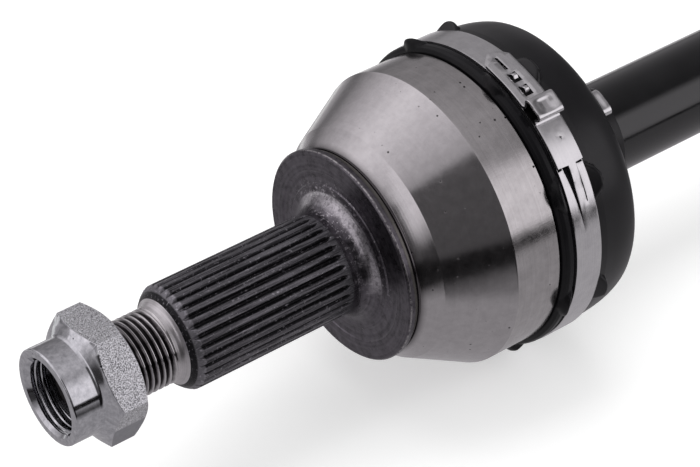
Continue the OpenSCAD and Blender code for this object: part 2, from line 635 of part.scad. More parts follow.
module box_boot_clamp_large() color("silver") placed()
    ear_clamp(box_clamp_x0, box_clamp_w, adapter_r + 2 * fit + 1.7, ear_turn - 15);

module box_boot_clamp_small() color("silver") placed()
    ear_clamp(box_small_x0, small_clamp_w, box_small_r + fit + 1.8, ear_turn - 40);

module stub_circlip() color("silver") placed()
    circlip(box_end - 5, box_spline_d / 2 - 1.6, box_spline_d / 2 + 0.2);

hub_nut();
outer_race();
ball_cage();
race_balls();
inner_race();
inner_race_circlip();
wheel_boot();
wheel_boot_clamp_large();
wheel_boot_clamp_small();
bar_shaft();
tripod_spider();
spider_circlips();
roller_top();
roller_left();
roller_right();
needles_top();
needles_left();
needles_right();
trunnion_rings();
tripod_housing();
boot_adapter();
box_boot();
box_boot_clamp_large();
box_boot_clamp_small();
stub_circlip();
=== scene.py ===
"""Looks of a front half shaft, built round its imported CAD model.

Lengths in this script are millimetres counted from the hub flange face along the shaft,
and every mesh is brought into the model's frame in metres by one function.
"""
import bpy
import bmesh
import math
import numpy as np
from mathutils import Matrix, Vector
from mathutils.geometry import delaunay_2d_cdt


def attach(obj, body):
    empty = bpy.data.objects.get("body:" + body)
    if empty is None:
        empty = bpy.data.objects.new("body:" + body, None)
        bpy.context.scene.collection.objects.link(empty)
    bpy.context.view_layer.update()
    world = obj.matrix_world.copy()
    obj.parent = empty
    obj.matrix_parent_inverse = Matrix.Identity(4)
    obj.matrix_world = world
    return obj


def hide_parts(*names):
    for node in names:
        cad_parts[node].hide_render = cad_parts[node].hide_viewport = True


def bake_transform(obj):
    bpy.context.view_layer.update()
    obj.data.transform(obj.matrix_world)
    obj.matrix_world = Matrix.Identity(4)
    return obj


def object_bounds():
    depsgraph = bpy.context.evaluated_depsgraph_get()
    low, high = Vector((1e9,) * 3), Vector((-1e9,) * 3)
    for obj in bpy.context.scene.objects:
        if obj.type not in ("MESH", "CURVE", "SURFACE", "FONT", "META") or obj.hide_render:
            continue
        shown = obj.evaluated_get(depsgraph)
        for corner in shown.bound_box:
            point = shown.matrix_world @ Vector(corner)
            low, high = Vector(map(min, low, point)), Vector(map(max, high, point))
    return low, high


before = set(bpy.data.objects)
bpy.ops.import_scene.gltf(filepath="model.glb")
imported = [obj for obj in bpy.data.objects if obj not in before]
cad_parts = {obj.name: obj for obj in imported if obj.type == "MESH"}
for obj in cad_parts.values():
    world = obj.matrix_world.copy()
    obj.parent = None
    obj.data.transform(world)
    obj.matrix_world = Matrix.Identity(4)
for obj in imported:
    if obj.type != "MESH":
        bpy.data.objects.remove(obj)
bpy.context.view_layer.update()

# Main stations of the CAD model, in mm from the flange face
FLANGE_IN_FRAME = -216.888
JOINT_X = 40.0
MOUTH_X = 62.5
BALL_CIRCLE = 31.7
TRACK_R = 10.6
TRACK_SIDE = 1.1
CAGE_R = 34.1
SEAT_R = 45.8
BELL_R = 47.8
FLANGE_R = 34.1
STUB_R = 16.5
CLAMP_X0, CLAMP_W = 50.8, 9.7
SMALL_CLAMP_X0, SMALL_CLAMP_W = 89.0, 7.0
NECK_END = 100.5
BAR_R = 15.2
BAND_T = 0.8
HOUSING_X0 = 390.5
BASE_X = 461.7
JOURNAL_X0, JOURNAL_X1, JOURNAL_R = 471.5, 489.5, 20.0
HOUSING_R = 39.2
# Roller pockets of the housing: distance of a pocket's centre from the axis, and its radius
POCKET_AT, POCKET_R = 24.0, 16.6
BOX_CLAMP_X0, BOX_CLAMP_W = 393.0, 9.0
BOX_SMALL_X0, BOX_SMALL_W = 311.5, 7.0
BOX_END = 536.5
ADAPTER_R = 41.25
# Degrees of turn for each step of a rounded corner
CORNER_STEP = 18
# Points closer than this, in metres, become one
WELD = 2e-7


# Mesh helpers
def in_frame(points):
    p = np.array(points, float).reshape(-1, 3)
    p[:, 0] += FLANGE_IN_FRAME
    return p / 1000


def linked(name, data):
    made = bpy.data.objects.new(name, data)
    bpy.context.scene.collection.objects.link(made)
    return made


# Camera, at the photograph's azimuth, elevation and distance
def set_camera():
    along = Vector((0.4817, 0.6193, -0.6200)).normalized()
    right = along.cross(Vector((0, 0, 1))).normalized()
    up = right.cross(along)
    data = bpy.data.cameras.new("camera")
    data.sensor_width, data.lens = 36.0, 133.6
    data.clip_start, data.clip_end = 0.05, 50
    camera = linked("camera", data)
    camera.rotation_mode = "QUATERNION"
    turn = Matrix((right, up, -along)).transposed()
    camera.rotation_quaternion = turn.to_quaternion()
    camera.location = Vector((-0.2169, 0, 0)) + 0.00342 * right + 0.00692 * up - 0.7778 * along
    bpy.context.scene.camera = camera


set_camera()


def weld(mesh):
    """Merges the doubles of a closed mesh, then turns its faces outward."""
    work = bmesh.new()
    work.from_mesh(mesh)
    bmesh.ops.remove_doubles(work, verts=work.verts, dist=WELD)
    bmesh.ops.recalc_face_normals(work, faces=work.faces)
    work.to_mesh(mesh)
    work.free()


def smooth(mesh, sharp):
    mesh.shade_smooth()
    mesh.set_sharp_from_angle(angle=math.radians(sharp))


def new_piece(name, verts, faces, materials, face_slots=None, sharp=32):
    """A smooth-shaded object from points in mm, with doubles merged and normals outward."""
    mesh = bpy.data.meshes.new(name)
    mesh.from_pydata(in_frame(verts).tolist(), [], [tuple(f) for f in faces])
    for m in materials:
        mesh.materials.append(m)
    if face_slots is not None:
        mesh.polygons.foreach_set("material_index", np.array(face_slots, np.int32))
    weld(mesh)
    smooth(mesh, sharp)
    return linked(name, mesh)


def loft(name, rings, materials, zone=None, loop=False, sharp=32):
    """Skins rings of equal length into a closed surface. Poles are rings of one point."""
    n = max(len(r) for r in rings)
    full = [np.repeat(r, n, 0) if len(r) == 1 else r for r in rings]
    rows = len(full)
    verts = np.concatenate(full)
    i = np.arange(rows if loop else rows - 1)[:, None]
    j = np.arange(n)[None, :]
    k, m = (i + 1) % rows, (j + 1) % n
    faces = np.stack([i * n + j, i * n + m, k * n + m, k * n + j], -1).reshape(-1, 4)
    slots = None
    if zone is not None:
        centre = verts[faces].mean(1)
        turn = np.degrees(np.arctan2(centre[:, 2], centre[:, 1]))
        slots = zone(centre[:, 0], np.hypot(centre[:, 1], centre[:, 2]), turn)
    return new_piece(name, verts, faces, materials, slots, sharp)


def ring(x, r, angles):
    """Points at station x and radius r round the shaft; x and r may vary with the angle."""
    one = np.ones_like(angles)
    return np.stack([x * one, r * np.cos(angles) * one, r * np.sin(angles) * one], 1)


def pole(x):
    return np.array([[x, 0.0, 0.0]])


def full_turn(count):
    return np.arange(count) * 2 * math.pi / count


def off_nearest(angles, count, first=0.0):
    """The angle to the nearest of a number of even places round the shaft."""
    return (angles - first + math.pi / count) % (2 * math.pi / count) - math.pi / count


def circle_reach(off, at, radius):
    """Polar radius of the far side of a circle whose centre is set off from the axis."""
    under = radius ** 2 - (at * np.sin(off)) ** 2
    return np.where(under > 0, at * np.cos(off) + np.sqrt(np.maximum(under, 0)), 0)


def rounded(path):
    """An outline of (x, r[, fillet]) points with its corners rounded and short support
    lengths beside them, so that smooth shading keeps the flat parts flat."""
    pts = [np.array(p[:2], float) for p in path]
    fillets = [p[2] if len(p) > 2 else 0.0 for p in path]
    parts = []
    for i, p in enumerate(pts):
        if fillets[i] <= 0 or i in (0, len(pts) - 1):
            parts.append([p])
            continue
        a, b = pts[i - 1] - p, pts[i + 1] - p
        la, lb = np.linalg.norm(a), np.linalg.norm(b)
        a, b = a / la, b / lb
        opening = math.acos(max(-1.0, min(1.0, float(a @ b))))
        if opening > math.radians(176):
            parts.append([p])
            continue
        reach = min(fillets[i] / math.tan(opening / 2), 0.45 * la, 0.45 * lb)
        radius = reach * math.tan(opening / 2)
        centre = p + (a + b) / np.linalg.norm(a + b) * radius / math.sin(opening / 2)
        count = max(2, math.ceil(math.degrees(math.pi - opening) / CORNER_STEP))
        start, end = p + a * reach - centre, p + b * reach - centre
        turn = math.pi - opening
        sign = 1 if start[0] * end[1] - start[1] * end[0] > 0 else -1
        arc = []
        for k in range(count + 1):
            t = sign * turn * k / count
            arc.append(centre + np.array([start[0] * math.cos(t) - start[1] * math.sin(t),
                                          start[0] * math.sin(t) + start[1] * math.cos(t)]))
        parts.append(arc)
    out = []
    for i, part in enumerate(parts):
        out += part
        if i < len(parts) - 1:
            a, b = part[-1], parts[i + 1][0]
            length = np.linalg.norm(b - a)
            if length > 0.7:
                out += [a + (b - a) * 0.14 / length, b - (b - a) * 0.14 / length]
    return np.array(out)


def subdivided(outline, x0, x1, step):
    """The outline with points added between stations x0 and x1, at most step mm apart."""
    out = [outline[0]]
    for a, b in zip(outline[:-1], outline[1:]):
        lo, hi = min(a[0], b[0]), max(a[0], b[0])
        length = np.linalg.norm(b - a)
        if hi > x0 and lo < x1 and length > step:
            count = math.ceil(length / step)
            out += [a + (b - a) * k / count for k in range(1, count)]
        out.append(b)
    return np.array(out)


def lathe(name, outline, materials, columns=256, loop=False, zone=None, sharp=32):
    angles = full_turn(columns)
    rings = [pole(x) if r < 1e-6 else ring(x, r, angles) for x, r in outline]
    return loft(name, rings, materials, zone, loop, sharp)


def cut_corners(points, times=2):
    p = np.array(points, float)
    for _ in range(times):
        q = np.empty((2 * len(p), 2))
        q[0], q[-1] = p[0], p[-1]
        q[1:-1:2] = p[:-1] * 0.75 + p[1:] * 0.25
        q[2:-1:2] = p[:-1] * 0.25 + p[1:] * 0.75
        p = q
    return p


def wall_sides(line, wall):
    """The two faces of a wall of even thickness along a centre line."""
    d = np.gradient(line, axis=0)
    d /= np.linalg.norm(d, axis=1)[:, None]
    side = np.stack([-d[:, 1], d[:, 0]], 1) * wall / 2
    return line + side, line - side


def put(piece, body, slot_name, *nodes):
    """Rides a finished piece on its body and hides the CAD nodes that it stands for. slot_name is not used."""
    if body:
        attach(piece, body)
    if nodes:
        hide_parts(*nodes)
    return piece


# A node with its settings and links, for materials and for Geometry Nodes alike
def add(tree, kind, inputs=(), **settings):
    made = tree.nodes.new(kind)
    for key, value in settings.items():
        setattr(made, key, value)
    for key, value in dict(inputs).items():
        if isinstance(value, bpy.types.NodeSocket):
            tree.links.new(value, made.inputs[key])
        else:
            made.inputs[key].default_value = value
    return made


def value_of(tree, kind, inputs=(), **settings):
    """The first output of a newly added node."""
    return add(tree, kind, inputs, **settings).outputs[0]


def colour(code):
    """A colour written as sRGB hex, as the linear RGBA that Blender wants."""
    parts = [int(code[k:k + 2], 16) / 255 for k in (1, 3, 5)]
    return [c / 12.92 if c <= 0.04045 else ((c + 0.055) / 1.055) ** 2.4 for c in parts] + [1.0]


MATH, MIX, NOISE = "ShaderNodeMath", "ShaderNodeMix", "ShaderNodeTexNoise"
# A Mix node gives its mixed colour on this output
TINT = 2


def surface(name, metallic, roughness, **sockets):
    """A new material with a Principled shader: its tree, its shader and useful places in mm.
    x runs along the shaft from the model's middle, r is the distance from the axis."""
    material = bpy.data.materials.new(name)
    material.use_nodes = True
    tree = material.node_tree
    shader = tree.nodes["Principled BSDF"]
    shader.inputs["Metallic"].default_value = metallic
    shader.inputs["Roughness"].default_value = roughness
    for key, value in sockets.items():
        shader.inputs[key.replace("_", " ")].default_value = value
    metres = add(tree, "ShaderNodeTexCoord").outputs["Object"]
    at = value_of(tree, "ShaderNodeVectorMath", {0: metres, 1: (1000,) * 3}, operation="MULTIPLY")
    parts = add(tree, "ShaderNodeSeparateXYZ", {0: at})
    across = value_of(tree, "ShaderNodeCombineXYZ", {1: parts.outputs[1], 2: parts.outputs[2]})
    r = add(tree, "ShaderNodeVectorMath", {0: across}, operation="LENGTH").outputs["Value"]
    x = value_of(tree, MATH, {0: parts.outputs[0], 1: -FLANGE_IN_FRAME}, operation="ADD")
    round_about = value_of(tree, "ShaderNodeCombineXYZ", {0: x, 1: r})
    return material, tree, shader, {"at": at, "x": x, "r": r, "rings": round_about}


def worn_metal(name, metallic, dark, light, roughness, swing, ring_mm, ring_depth, mottle_mm,
               pits=0.0, ring_share=0.5, **sockets):
    """Turned, ground or plated steel: rings of the tool's marks, a soft mottle, and small pits.
    Depths are micrometres, and the marks are as coarse as the picture needs to show them."""
    material, tree, shader, place = surface(name, metallic, roughness, **sockets)
    rings = value_of(tree, NOISE, {"Vector": place["rings"], "Scale": 1 / ring_mm, "Detail": 3.0, "Roughness": 0.6},
                     noise_dimensions="2D")
    mottle = value_of(tree, NOISE, {"Vector": place["at"], "Scale": 1 / mottle_mm, "Detail": 5.0, "Roughness": 0.62})
    both = add(tree, MIX, {"Factor": ring_share, "A": mottle, "B": rings}).outputs[0]
    amount = value_of(tree, "ShaderNodeMapRange", {0: both, 1: 0.3, 2: 0.7, 3: 0.0, 4: 1.0})
    tint = add(tree, MIX, {"Factor": amount, "A": colour(dark), "B": colour(light)},
               data_type="RGBA").outputs[TINT]
    rough = value_of(tree, "ShaderNodeMapRange", {0: mottle, 1: 0.25, 2: 0.75, 3: roughness - swing,
                                                 4: roughness + swing})
    height = value_of(tree, MATH, {0: rings, 1: ring_depth}, operation="MULTIPLY")
    if pits:
        specks = value_of(tree, "ShaderNodeTexVoronoi", {"Vector": place["at"], "Scale": 0.32, "Randomness": 1.0})
        size = value_of(tree, NOISE, {"Vector": place["at"], "Scale": 0.2, "Detail": 1.0})
        reach = value_of(tree, "ShaderNodeMapRange", {0: size, 1: 0.5, 2: 0.75, 3: 0.0, 4: pits})
        depth = value_of(tree, MATH, {0: specks, 1: reach}, operation="SUBTRACT")
        spot = value_of(tree, "ShaderNodeMapRange", {0: depth, 1: 0.0, 2: 0.05, 3: 1.0, 4: 0.0})
        tint = add(tree, MIX, {"Factor": spot, "A": tint, "B": colour("#1a1817")}, data_type="RGBA").outputs[TINT]
        height = value_of(tree, MATH, {0: spot, 1: -60.0, 2: height}, operation="MULTIPLY_ADD")
    bump = value_of(tree, "ShaderNodeBump", {"Strength": 1.0, "Distance": 1e-6, "Height": height})
    tree.links.new(tint, shader.inputs["Base Color"])
    tree.links.new(rough, shader.inputs["Roughness"])
    tree.links.new(bump, shader.inputs["Normal"])
    return material, tree, shader, place, tint, height


# Zinc-plated steel, turned and plated: bright and cool, with faint tool rings and a few pits
zinc = worn_metal("zinc_plated_steel", 1.0, "#a9aaae", "#dcdce0", 0.1, 0.03, 0.5, 1.6, 1.6,
                  pits=0.12, ring_share=0.15)[0]
# The same plating on the lower flats, smooth and without the painted glints of the upper ones
zinc_plain_flats = worn_metal("zinc_flats_without_glints", 0.9, "#87878c", "#a5a5aa", 0.34, 0.05, 1.5, 3.0, 1.0,
                       ring_share=0.1)[0]


def glinting_zinc():
    """Zinc on the upper hexagon flats: a salt-and-pepper grain of about half a millimetre, its bright grains painted
    glints where light falls.
    """
    material, tree, shader, place = surface("zinc_flats_painted_glints", 0.9, 0.3)
    grain = value_of(tree, NOISE, {"Vector": place["at"], "Scale": 2.9, "Detail": 2.0, "Roughness": 0.6})
    amount = value_of(tree, "ShaderNodeMapRange", {0: grain, 1: 0.36, 2: 0.6})
    tint = add(tree, MIX, {"Factor": amount, "A": colour("#646468"), "B": colour("#f4f4f8")},
               data_type="RGBA").outputs[TINT]
    tree.links.new(tint, shader.inputs["Base Color"])
    bump = value_of(tree, "ShaderNodeBump", {"Strength": 1.0, "Distance": 1.1e-4, "Height": grain})
    tree.links.new(bump, shader.inputs["Normal"])
    return material


zinc_glint_flats = glinting_zinc()


def thread_metal():
    """Rolled thread, tinted by radius: roots painted dark as shade and crests painted bright as highlight lines, broken
    up by soft patches.
    """
    material, tree, shader, place = surface("rolled_thread_painted_light", 1.0, 0.16)
    patches = value_of(tree, NOISE, {"Vector": place["at"], "Scale": 0.3, "Detail": 4.0})
    crest = value_of(tree, MATH, {0: patches, 1: 0.7, 2: place["r"]}, operation="MULTIPLY_ADD")
    # painted light by radius: dark roots are painted shade, bright crests are painted highlight lines
    amount = value_of(tree, "ShaderNodeMapRange", {0: crest, 1: 11.4, 2: 12.1})
    tint = add(tree, MIX, {"Factor": amount, "A": colour("#1f1d1e"), "B": colour("#cfcccd")},
               data_type="RGBA").outputs[TINT]
    tree.links.new(tint, shader.inputs["Base Color"])
    return material


thread_steel = thread_metal()

# Ground steel neck: smooth and bright with light tool rings
neck_bright = worn_metal("ground_neck_steel", 1.0, "#b5b2b3", "#e0dddf", 0.36, 0.08, 0.5, 2.5, 3.0, pits=0.12)[0]


def phosphate_spline():
    """Black phosphate on the hub spline: almost black grooves, tips rubbed to grey metal."""
    material, tree, shader, place = surface("black_phosphate_spline", 0.8, 0.34)
    along = value_of(tree, "ShaderNodeVectorMath", {0: place["at"], 1: (0.06, 1.7, 1.7)}, operation="MULTIPLY")
    streak = value_of(tree, NOISE, {"Vector": along, "Scale": 1.0, "Detail": 5.0, "Roughness": 0.75})
    fleck = value_of(tree, NOISE, {"Vector": place["at"], "Scale": 1.1, "Detail": 4.0, "Roughness": 0.7})
    scar = value_of(tree, "ShaderNodeMapRange", {0: fleck, 1: 0.58, 2: 0.7})
    tip = value_of(tree, MATH, {0: streak, 1: 3.4, 2: place["r"]}, operation="MULTIPLY_ADD")
    amount = value_of(tree, "ShaderNodeMapRange", {0: tip, 1: 17.7, 2: 18.9, 3: 0.0, 4: 0.5})
    end = value_of(tree, "ShaderNodeMapRange", {0: place["x"], 1: -59.9, 2: -60.4})
    high = value_of(tree, "ShaderNodeMapRange", {0: place["r"], 1: 15.0, 2: 15.3})
    facet = value_of(tree, MATH, {0: end, 1: high}, operation="MULTIPLY")
    amount = value_of(tree, MATH, {0: scar, 1: 0.6, 2: amount}, operation="MULTIPLY_ADD")
    amount = value_of(tree, MATH, {0: facet, 1: 0.35, 2: amount}, operation="MULTIPLY_ADD", use_clamp=True)
    tint = add(tree, MIX, {"Factor": amount, "A": colour("#222124"), "B": colour("#b4b1b8")},
               data_type="RGBA").outputs[TINT]
    tree.links.new(tint, shader.inputs["Base Color"])
    tree.links.new(value_of(tree, "ShaderNodeMapRange", {0: streak, 1: 0.3, 2: 0.7, 3: 0.44, 4: 0.26}),
                   shader.inputs["Roughness"])
    bump = value_of(tree, "ShaderNodeBump", {"Strength": 1.0, "Distance": 9e-5, "Height": streak})
    tree.links.new(bump, shader.inputs["Normal"])
    return material


spline_black = phosphate_spline()


def flange_metal():
    """Turned flange with a dark oxide: concentric tool marks, bright edges, and a painted highlight on the fillet and
    on flecks of the face, lighter towards the top and front where light falls.
    """
    material, tree, shader, place, tint, _ = worn_metal(
        "dark_turned_flange", 1.0, "#39363b", "#757177", 0.3, 0.08, 0.9, 5.0, 2.4, pits=0.1, ring_share=0.35)
    speck = value_of(tree, NOISE, {"Vector": place["at"], "Scale": 0.9, "Detail": 5.0, "Roughness": 0.75})
    cloud = value_of(tree, NOISE, {"Vector": place["at"], "Scale": 0.14, "Detail": 1.0})
    ragged = value_of(tree, MATH, {0: speck, 1: 2.6, 2: place["r"]}, operation="MULTIPLY_ADD")
    inner = value_of(tree, "ShaderNodeMapRange", {0: place["r"], 1: 17.1, 2: 18.4})
    outer = value_of(tree, "ShaderNodeMapRange", {0: ragged, 1: 22.6, 2: 22.2})
    zone = value_of(tree, MATH, {0: inner, 1: outer}, operation="MULTIPLY")
    # painted highlight: the fillet and the flecks grow lighter towards the top and the front, where light falls, in
    # soft patches
    high = add(tree, "ShaderNodeVectorMath", {0: place["at"], 1: (0.0, -0.011, 0.046)},
               operation="DOT_PRODUCT").outputs["Value"]
    top_lit_patches = value_of(tree, "ShaderNodeMapRange", {0: value_of(tree, MATH, {0: high, 1: cloud}, operation="ADD"),
                                                1: 0.35, 2: 1.3, 3: 0.02, 4: 1.0})
    broken = value_of(tree, "ShaderNodeMapRange", {0: speck, 1: 0.38, 2: 0.52, 3: 0.3, 4: 1.0})
    top_lit_patches = value_of(tree, MATH, {0: top_lit_patches, 1: broken}, operation="MULTIPLY")
    fleck_zone = value_of(tree, "ShaderNodeMapRange", {0: place["r"], 1: 27.0, 2: 22.0, 3: 0.0, 4: 1.0})
    fleck = value_of(tree, "ShaderNodeMapRange", {0: speck, 1: 0.56, 2: 0.62})
    fleck = value_of(tree, MATH, {0: fleck, 1: fleck_zone}, operation="MULTIPLY")
    tint = add(tree, MIX, {"Factor": value_of(tree, MATH, {0: fleck, 1: top_lit_patches}, operation="MULTIPLY"), "A": tint,
                           "B": colour("#bdb9be")}, data_type="RGBA").outputs[TINT]
    tint = add(tree, MIX, {"Factor": value_of(tree, MATH, {0: zone, 1: top_lit_patches}, operation="MULTIPLY"), "A": tint,
                           "B": colour("#bdb9be")}, data_type="RGBA").outputs[TINT]
    edge = value_of(tree, "ShaderNodeMapRange", {0: place["r"], 1: 33.75, 2: 34.0})
    near = value_of(tree, "ShaderNodeMapRange", {0: place["x"], 1: 1.0, 2: 0.6})
    rubbed = value_of(tree, "ShaderNodeMapRange", {0: speck, 1: 0.42, 2: 0.55})
    bright = value_of(tree, MATH, {0: value_of(tree, MATH, {0: edge, 1: near}, operation="MULTIPLY"), 1: rubbed},
                      operation="MULTIPLY")
    tint = add(tree, MIX, {"Factor": bright, "A": tint, "B": colour("#a7a4a5")}, data_type="RGBA").outputs[TINT]
    tree.links.new(tint, shader.inputs["Base Color"])
    return material


flange_dark = flange_metal()

def polished_cone():
    """Hard-turned and polished cone: smooth mirror-like steel with faint tool marks, and a soft
    dark tint where it rises from the groove behind the flange."""
    material, tree, shader, place, tint, _ = worn_metal(
        "polished_cone_steel", 1.0, "#b5b2b3", "#c6c3c4", 0.17, 0.03, 0.3, 3.0, 2.5, pits=0.1, ring_share=0.2)
    near = value_of(tree, "ShaderNodeMapRange", {0: place["x"], 1: 3.6, 2: 6.6}, interpolation_type="SMOOTHSTEP")
    tint = add(tree, MIX, {"Factor": near, "A": colour("#4a4648"), "B": tint}, data_type="RGBA").outputs[TINT]
    tree.links.new(tint, shader.inputs["Base Color"])
    return material


cone_steel = polished_cone()


def hatched_band():
    """Turned band: fine rings crossed by grinding marks, a few small dark pits."""
    material, tree, shader, place, _, height = worn_metal(
        "turned_band_steel", 1.0, "#aeabab", "#cbc8c8", 0.17, 0.04, 0.3, 2.5, 4.0, pits=0.14, ring_share=0.3)
    along = value_of(tree, "ShaderNodeVectorMath", {0: place["at"], 1: (0.2, 2.4, 2.4)}, operation="MULTIPLY")
    hatch = value_of(tree, NOISE, {"Vector": along, "Scale": 1.0, "Detail": 3.0, "Roughness": 0.7})
    total = value_of(tree, MATH, {0: hatch, 1: 12.0, 2: height}, operation="MULTIPLY_ADD")
    tree.links.new(value_of(tree, "ShaderNodeBump", {"Strength": 1.0, "Distance": 1e-6, "Height": total}),
                   shader.inputs["Normal"])
    return material


band_steel = hatched_band()
# Ground bore under grease: dark and half matt
bore_steel = worn_metal("greased_bore_steel", 1.0, "#4c4a48", "#7c7975", 0.3, 0.08, 0.6, 2.0, 5.0)[0]


def boot_rubber(name, shine):
    """Moulded thermoplastic elastomer: matte near-black with a faint bloom and fine grain."""
    material, tree, shader, place = surface(name, 0.0, 0.32, Specular_IOR_Level=shine)
    bloom = value_of(tree, NOISE, {"Vector": place["at"], "Scale": 0.06, "Detail": 4.0, "Roughness": 0.6})
    grain = value_of(tree, NOISE, {"Vector": place["at"], "Scale": 3.0, "Detail": 2.0})
    amount = value_of(tree, "ShaderNodeMapRange", {0: bloom, 1: 0.3, 2: 0.7})
    tint = add(tree, MIX, {"Factor": amount, "A": colour("#0d0d0f"), "B": colour("#161518")},
               data_type="RGBA").outputs[TINT]
    tree.links.new(tint, shader.inputs["Base Color"])
    tree.links.new(value_of(tree, "ShaderNodeMapRange", {0: bloom, 1: 0.3, 2: 0.7, 3: 0.36, 4: 0.28}),
                   shader.inputs["Roughness"])
    tree.links.new(value_of(tree, "ShaderNodeBump", {"Strength": 0.5, "Distance": 2e-5, "Height": grain}),
                   shader.inputs["Normal"])
    return material


rubber = boot_rubber("moulded_boot_elastomer", 0.4)
# The same rubber with less shine on the lip, the seat under the clamp and the lugs before it: painted shade that stands
# in for the dark that the lip reflects
dimmed_lip_rubber = boot_rubber("boot_lip_painted_shade", 0.16)


def stainless_strip():
    """Rolled stainless strip: bright, with soft brushed lines round the band."""
    material, tree, shader, place = surface("rolled_stainless_strip", 1.0, 0.18)
    lines = value_of(tree, NOISE, {"Vector": place["rings"], "Scale": 3.5, "Detail": 3.0}, noise_dimensions="2D")
    mottle = value_of(tree, NOISE, {"Vector": place["at"], "Scale": 0.35, "Detail": 4.0})
    both = add(tree, MIX, {"Factor": 0.4, "A": mottle, "B": lines}).outputs[0]
    amount = value_of(tree, "ShaderNodeMapRange", {0: both, 1: 0.3, 2: 0.7})
    tint = add(tree, MIX, {"Factor": amount, "A": colour("#d2d1d3"), "B": colour("#e6e5e6")},
               data_type="RGBA").outputs[TINT]
    tree.links.new(tint, shader.inputs["Base Color"])
    tree.links.new(value_of(tree, "ShaderNodeMapRange", {0: mottle, 1: 0.3, 2: 0.7, 3: 0.14, 4: 0.24}),
                   shader.inputs["Roughness"])
    tree.links.new(value_of(tree, "ShaderNodeBump", {"Strength": 0.5, "Distance": 1.5e-6, "Height": lines}),
                   shader.inputs["Normal"])
    return material


stainless = stainless_strip()
# The inside of a pinched ear and the band under it, painted dark as the shade in the hollow
ear_hollow_shade = worn_metal("painted_shade_inside_ear", 0.9, "#1b1a1b", "#2b292a", 0.5, 0.08, 1.0, 2.0, 2.0)[0]


def bar_paint():
    """Black cathodic dip paint on the bar: glossy with a slight orange peel."""
    material, tree, shader, place = surface("black_dip_paint", 0.0, 0.16, Coat_Weight=0.55, Coat_Roughness=0.07)
    peel = value_of(tree, NOISE, {"Vector": place["at"], "Scale": 0.35, "Detail": 2.0})
    cloud = value_of(tree, NOISE, {"Vector": place["at"], "Scale": 0.08, "Detail": 4.0})
    tint = add(tree, MIX, {"Factor": cloud, "A": colour("#060607"), "B": colour("#0d0d0f")},
               data_type="RGBA").outputs[TINT]
    tree.links.new(tint, shader.inputs["Base Color"])
    tree.links.new(value_of(tree, "ShaderNodeMapRange", {0: cloud, 1: 0.3, 2: 0.7, 3: 0.12, 4: 0.22}),
                   shader.inputs["Roughness"])
    tree.links.new(value_of(tree, "ShaderNodeBump", {"Strength": 0.5, "Distance": 1.5e-5, "Height": peel}),
                   shader.inputs["Normal"])
    return material


bar_black = bar_paint()
# Machined bar ends, dull from oil
bar_end_steel = worn_metal("machined_bar_end_steel", 1.0, "#6d6a67", "#9a9692", 0.36, 0.08, 0.5, 3.0, 4.0)[0]
# Phosphated forging: dark grey with a dry, slightly rough skin
housing_black = worn_metal("phosphated_forging", 0.6, "#242426", "#3d3c3d", 0.46, 0.1, 1.4, 14.0, 2.2,
                           ring_share=0.25)[0]
# Seal journal and shoulders: fine ground steel
journal_ground = worn_metal("ground_journal_steel", 1.0, "#aeaba8", "#d2cfcb", 0.2, 0.05, 0.3, 1.2, 5.0)[0]
# Phosphated cage: grey-black and dry
cage_phosphate = worn_metal("phosphated_cage_steel", 0.7, "#343335", "#514f50", 0.42, 0.08, 0.8, 4.0, 3.0)[0]
# Lapped bearing steel: a near mirror
ball_polish = worn_metal("lapped_bearing_steel", 1.0, "#cfcdcc", "#e0dedc", 0.08, 0.02, 0.8, 0.1, 6.0)[0]
# Ground race: light grey with fine rings
race_ground = worn_metal("ground_race_steel", 1.0, "#8e8b88", "#b4b0ac", 0.26, 0.06, 0.4, 2.0, 4.0)[0]
# Oiled spring steel: darker and plain
spring_steel = worn_metal("oiled_spring_steel", 1.0, "#4b4a4c", "#6f6d6d", 0.34, 0.06, 0.4, 2.0, 2.0)[0]


def moulded_nylon():
    """Black glass-filled nylon of the boot adapter: dull with a fine flow pattern."""
    material, tree, shader, place = surface("black_glass_filled_nylon", 0.0, 0.52)
    flow = value_of(tree, NOISE, {"Vector": place["at"], "Scale": 0.5, "Detail": 5.0, "Roughness": 0.7})
    tint = add(tree, MIX, {"Factor": flow, "A": colour("#1b1b1d"), "B": colour("#2c2c2f")},
               data_type="RGBA").outputs[TINT]
    tree.links.new(tint, shader.inputs["Base Color"])
    tree.links.new(value_of(tree, "ShaderNodeBump", {"Strength": 0.6, "Distance": 3e-5, "Height": flow}),
                   shader.inputs["Normal"])
    return material


nylon = moulded_nylon()


# Hub nut: rounded hexagon, collar, and a bore with a real helical thread
THREAD_PITCH = 2.0
NUT_X0, NUT_X1 = -103.2, -81.2
HEX_X0, HEX_X1 = -92.0, -81.4
NUT_TURN = 54.0


def hexagon_radius(angles, apothem, fillet):
    """Polar radius of a hexagon with rounded corners."""
    off = np.abs(off_nearest(angles, 6, math.radians(NUT_TURN)))
    centre = (apothem - fillet) / math.cos(math.pi / 6)
    touch = math.atan2(fillet * 0.5, centre + fillet * math.cos(math.pi / 6))
    flat = apothem / np.cos(math.pi / 6 - off)
    curved = centre * np.cos(off) + np.sqrt(np.maximum(fillet ** 2 - (centre * np.sin(off)) ** 2, 0))
    return np.where(off < touch, curved, flat)


def thread_profile(phase, root, crest):
    """Radius along one pitch: rounded root, straight flanks, narrow crest at phase 0."""
    t = np.abs((phase + 0.5) % 1.0 - 0.5) * 2
    t = np.clip((t - 0.1) / 0.72, 0, 1)
    return crest + (root - crest) * (t - 0.06 * np.sin(2 * math.pi * t))


def helix_rings(angles, x0, x1, root, crest, limit, per_pitch=12):
    """Rings that follow the helix from x0 to x1, clipped to the two ends.
    limit(x, r) gives the radius where a chamfer or run-out takes over."""
    lead = angles / (2 * math.pi) * THREAD_PITCH
    step = THREAD_PITCH / per_pitch
    rings = []
    for k in range(-per_pitch, math.ceil((x1 - x0) / step) + 1):
        x = np.clip(x0 + k * step + lead, x0, x1)
        r = limit(x, thread_profile((x - lead) / THREAD_PITCH, root, crest))
        rings.append(ring(x, r, angles))
    return rings


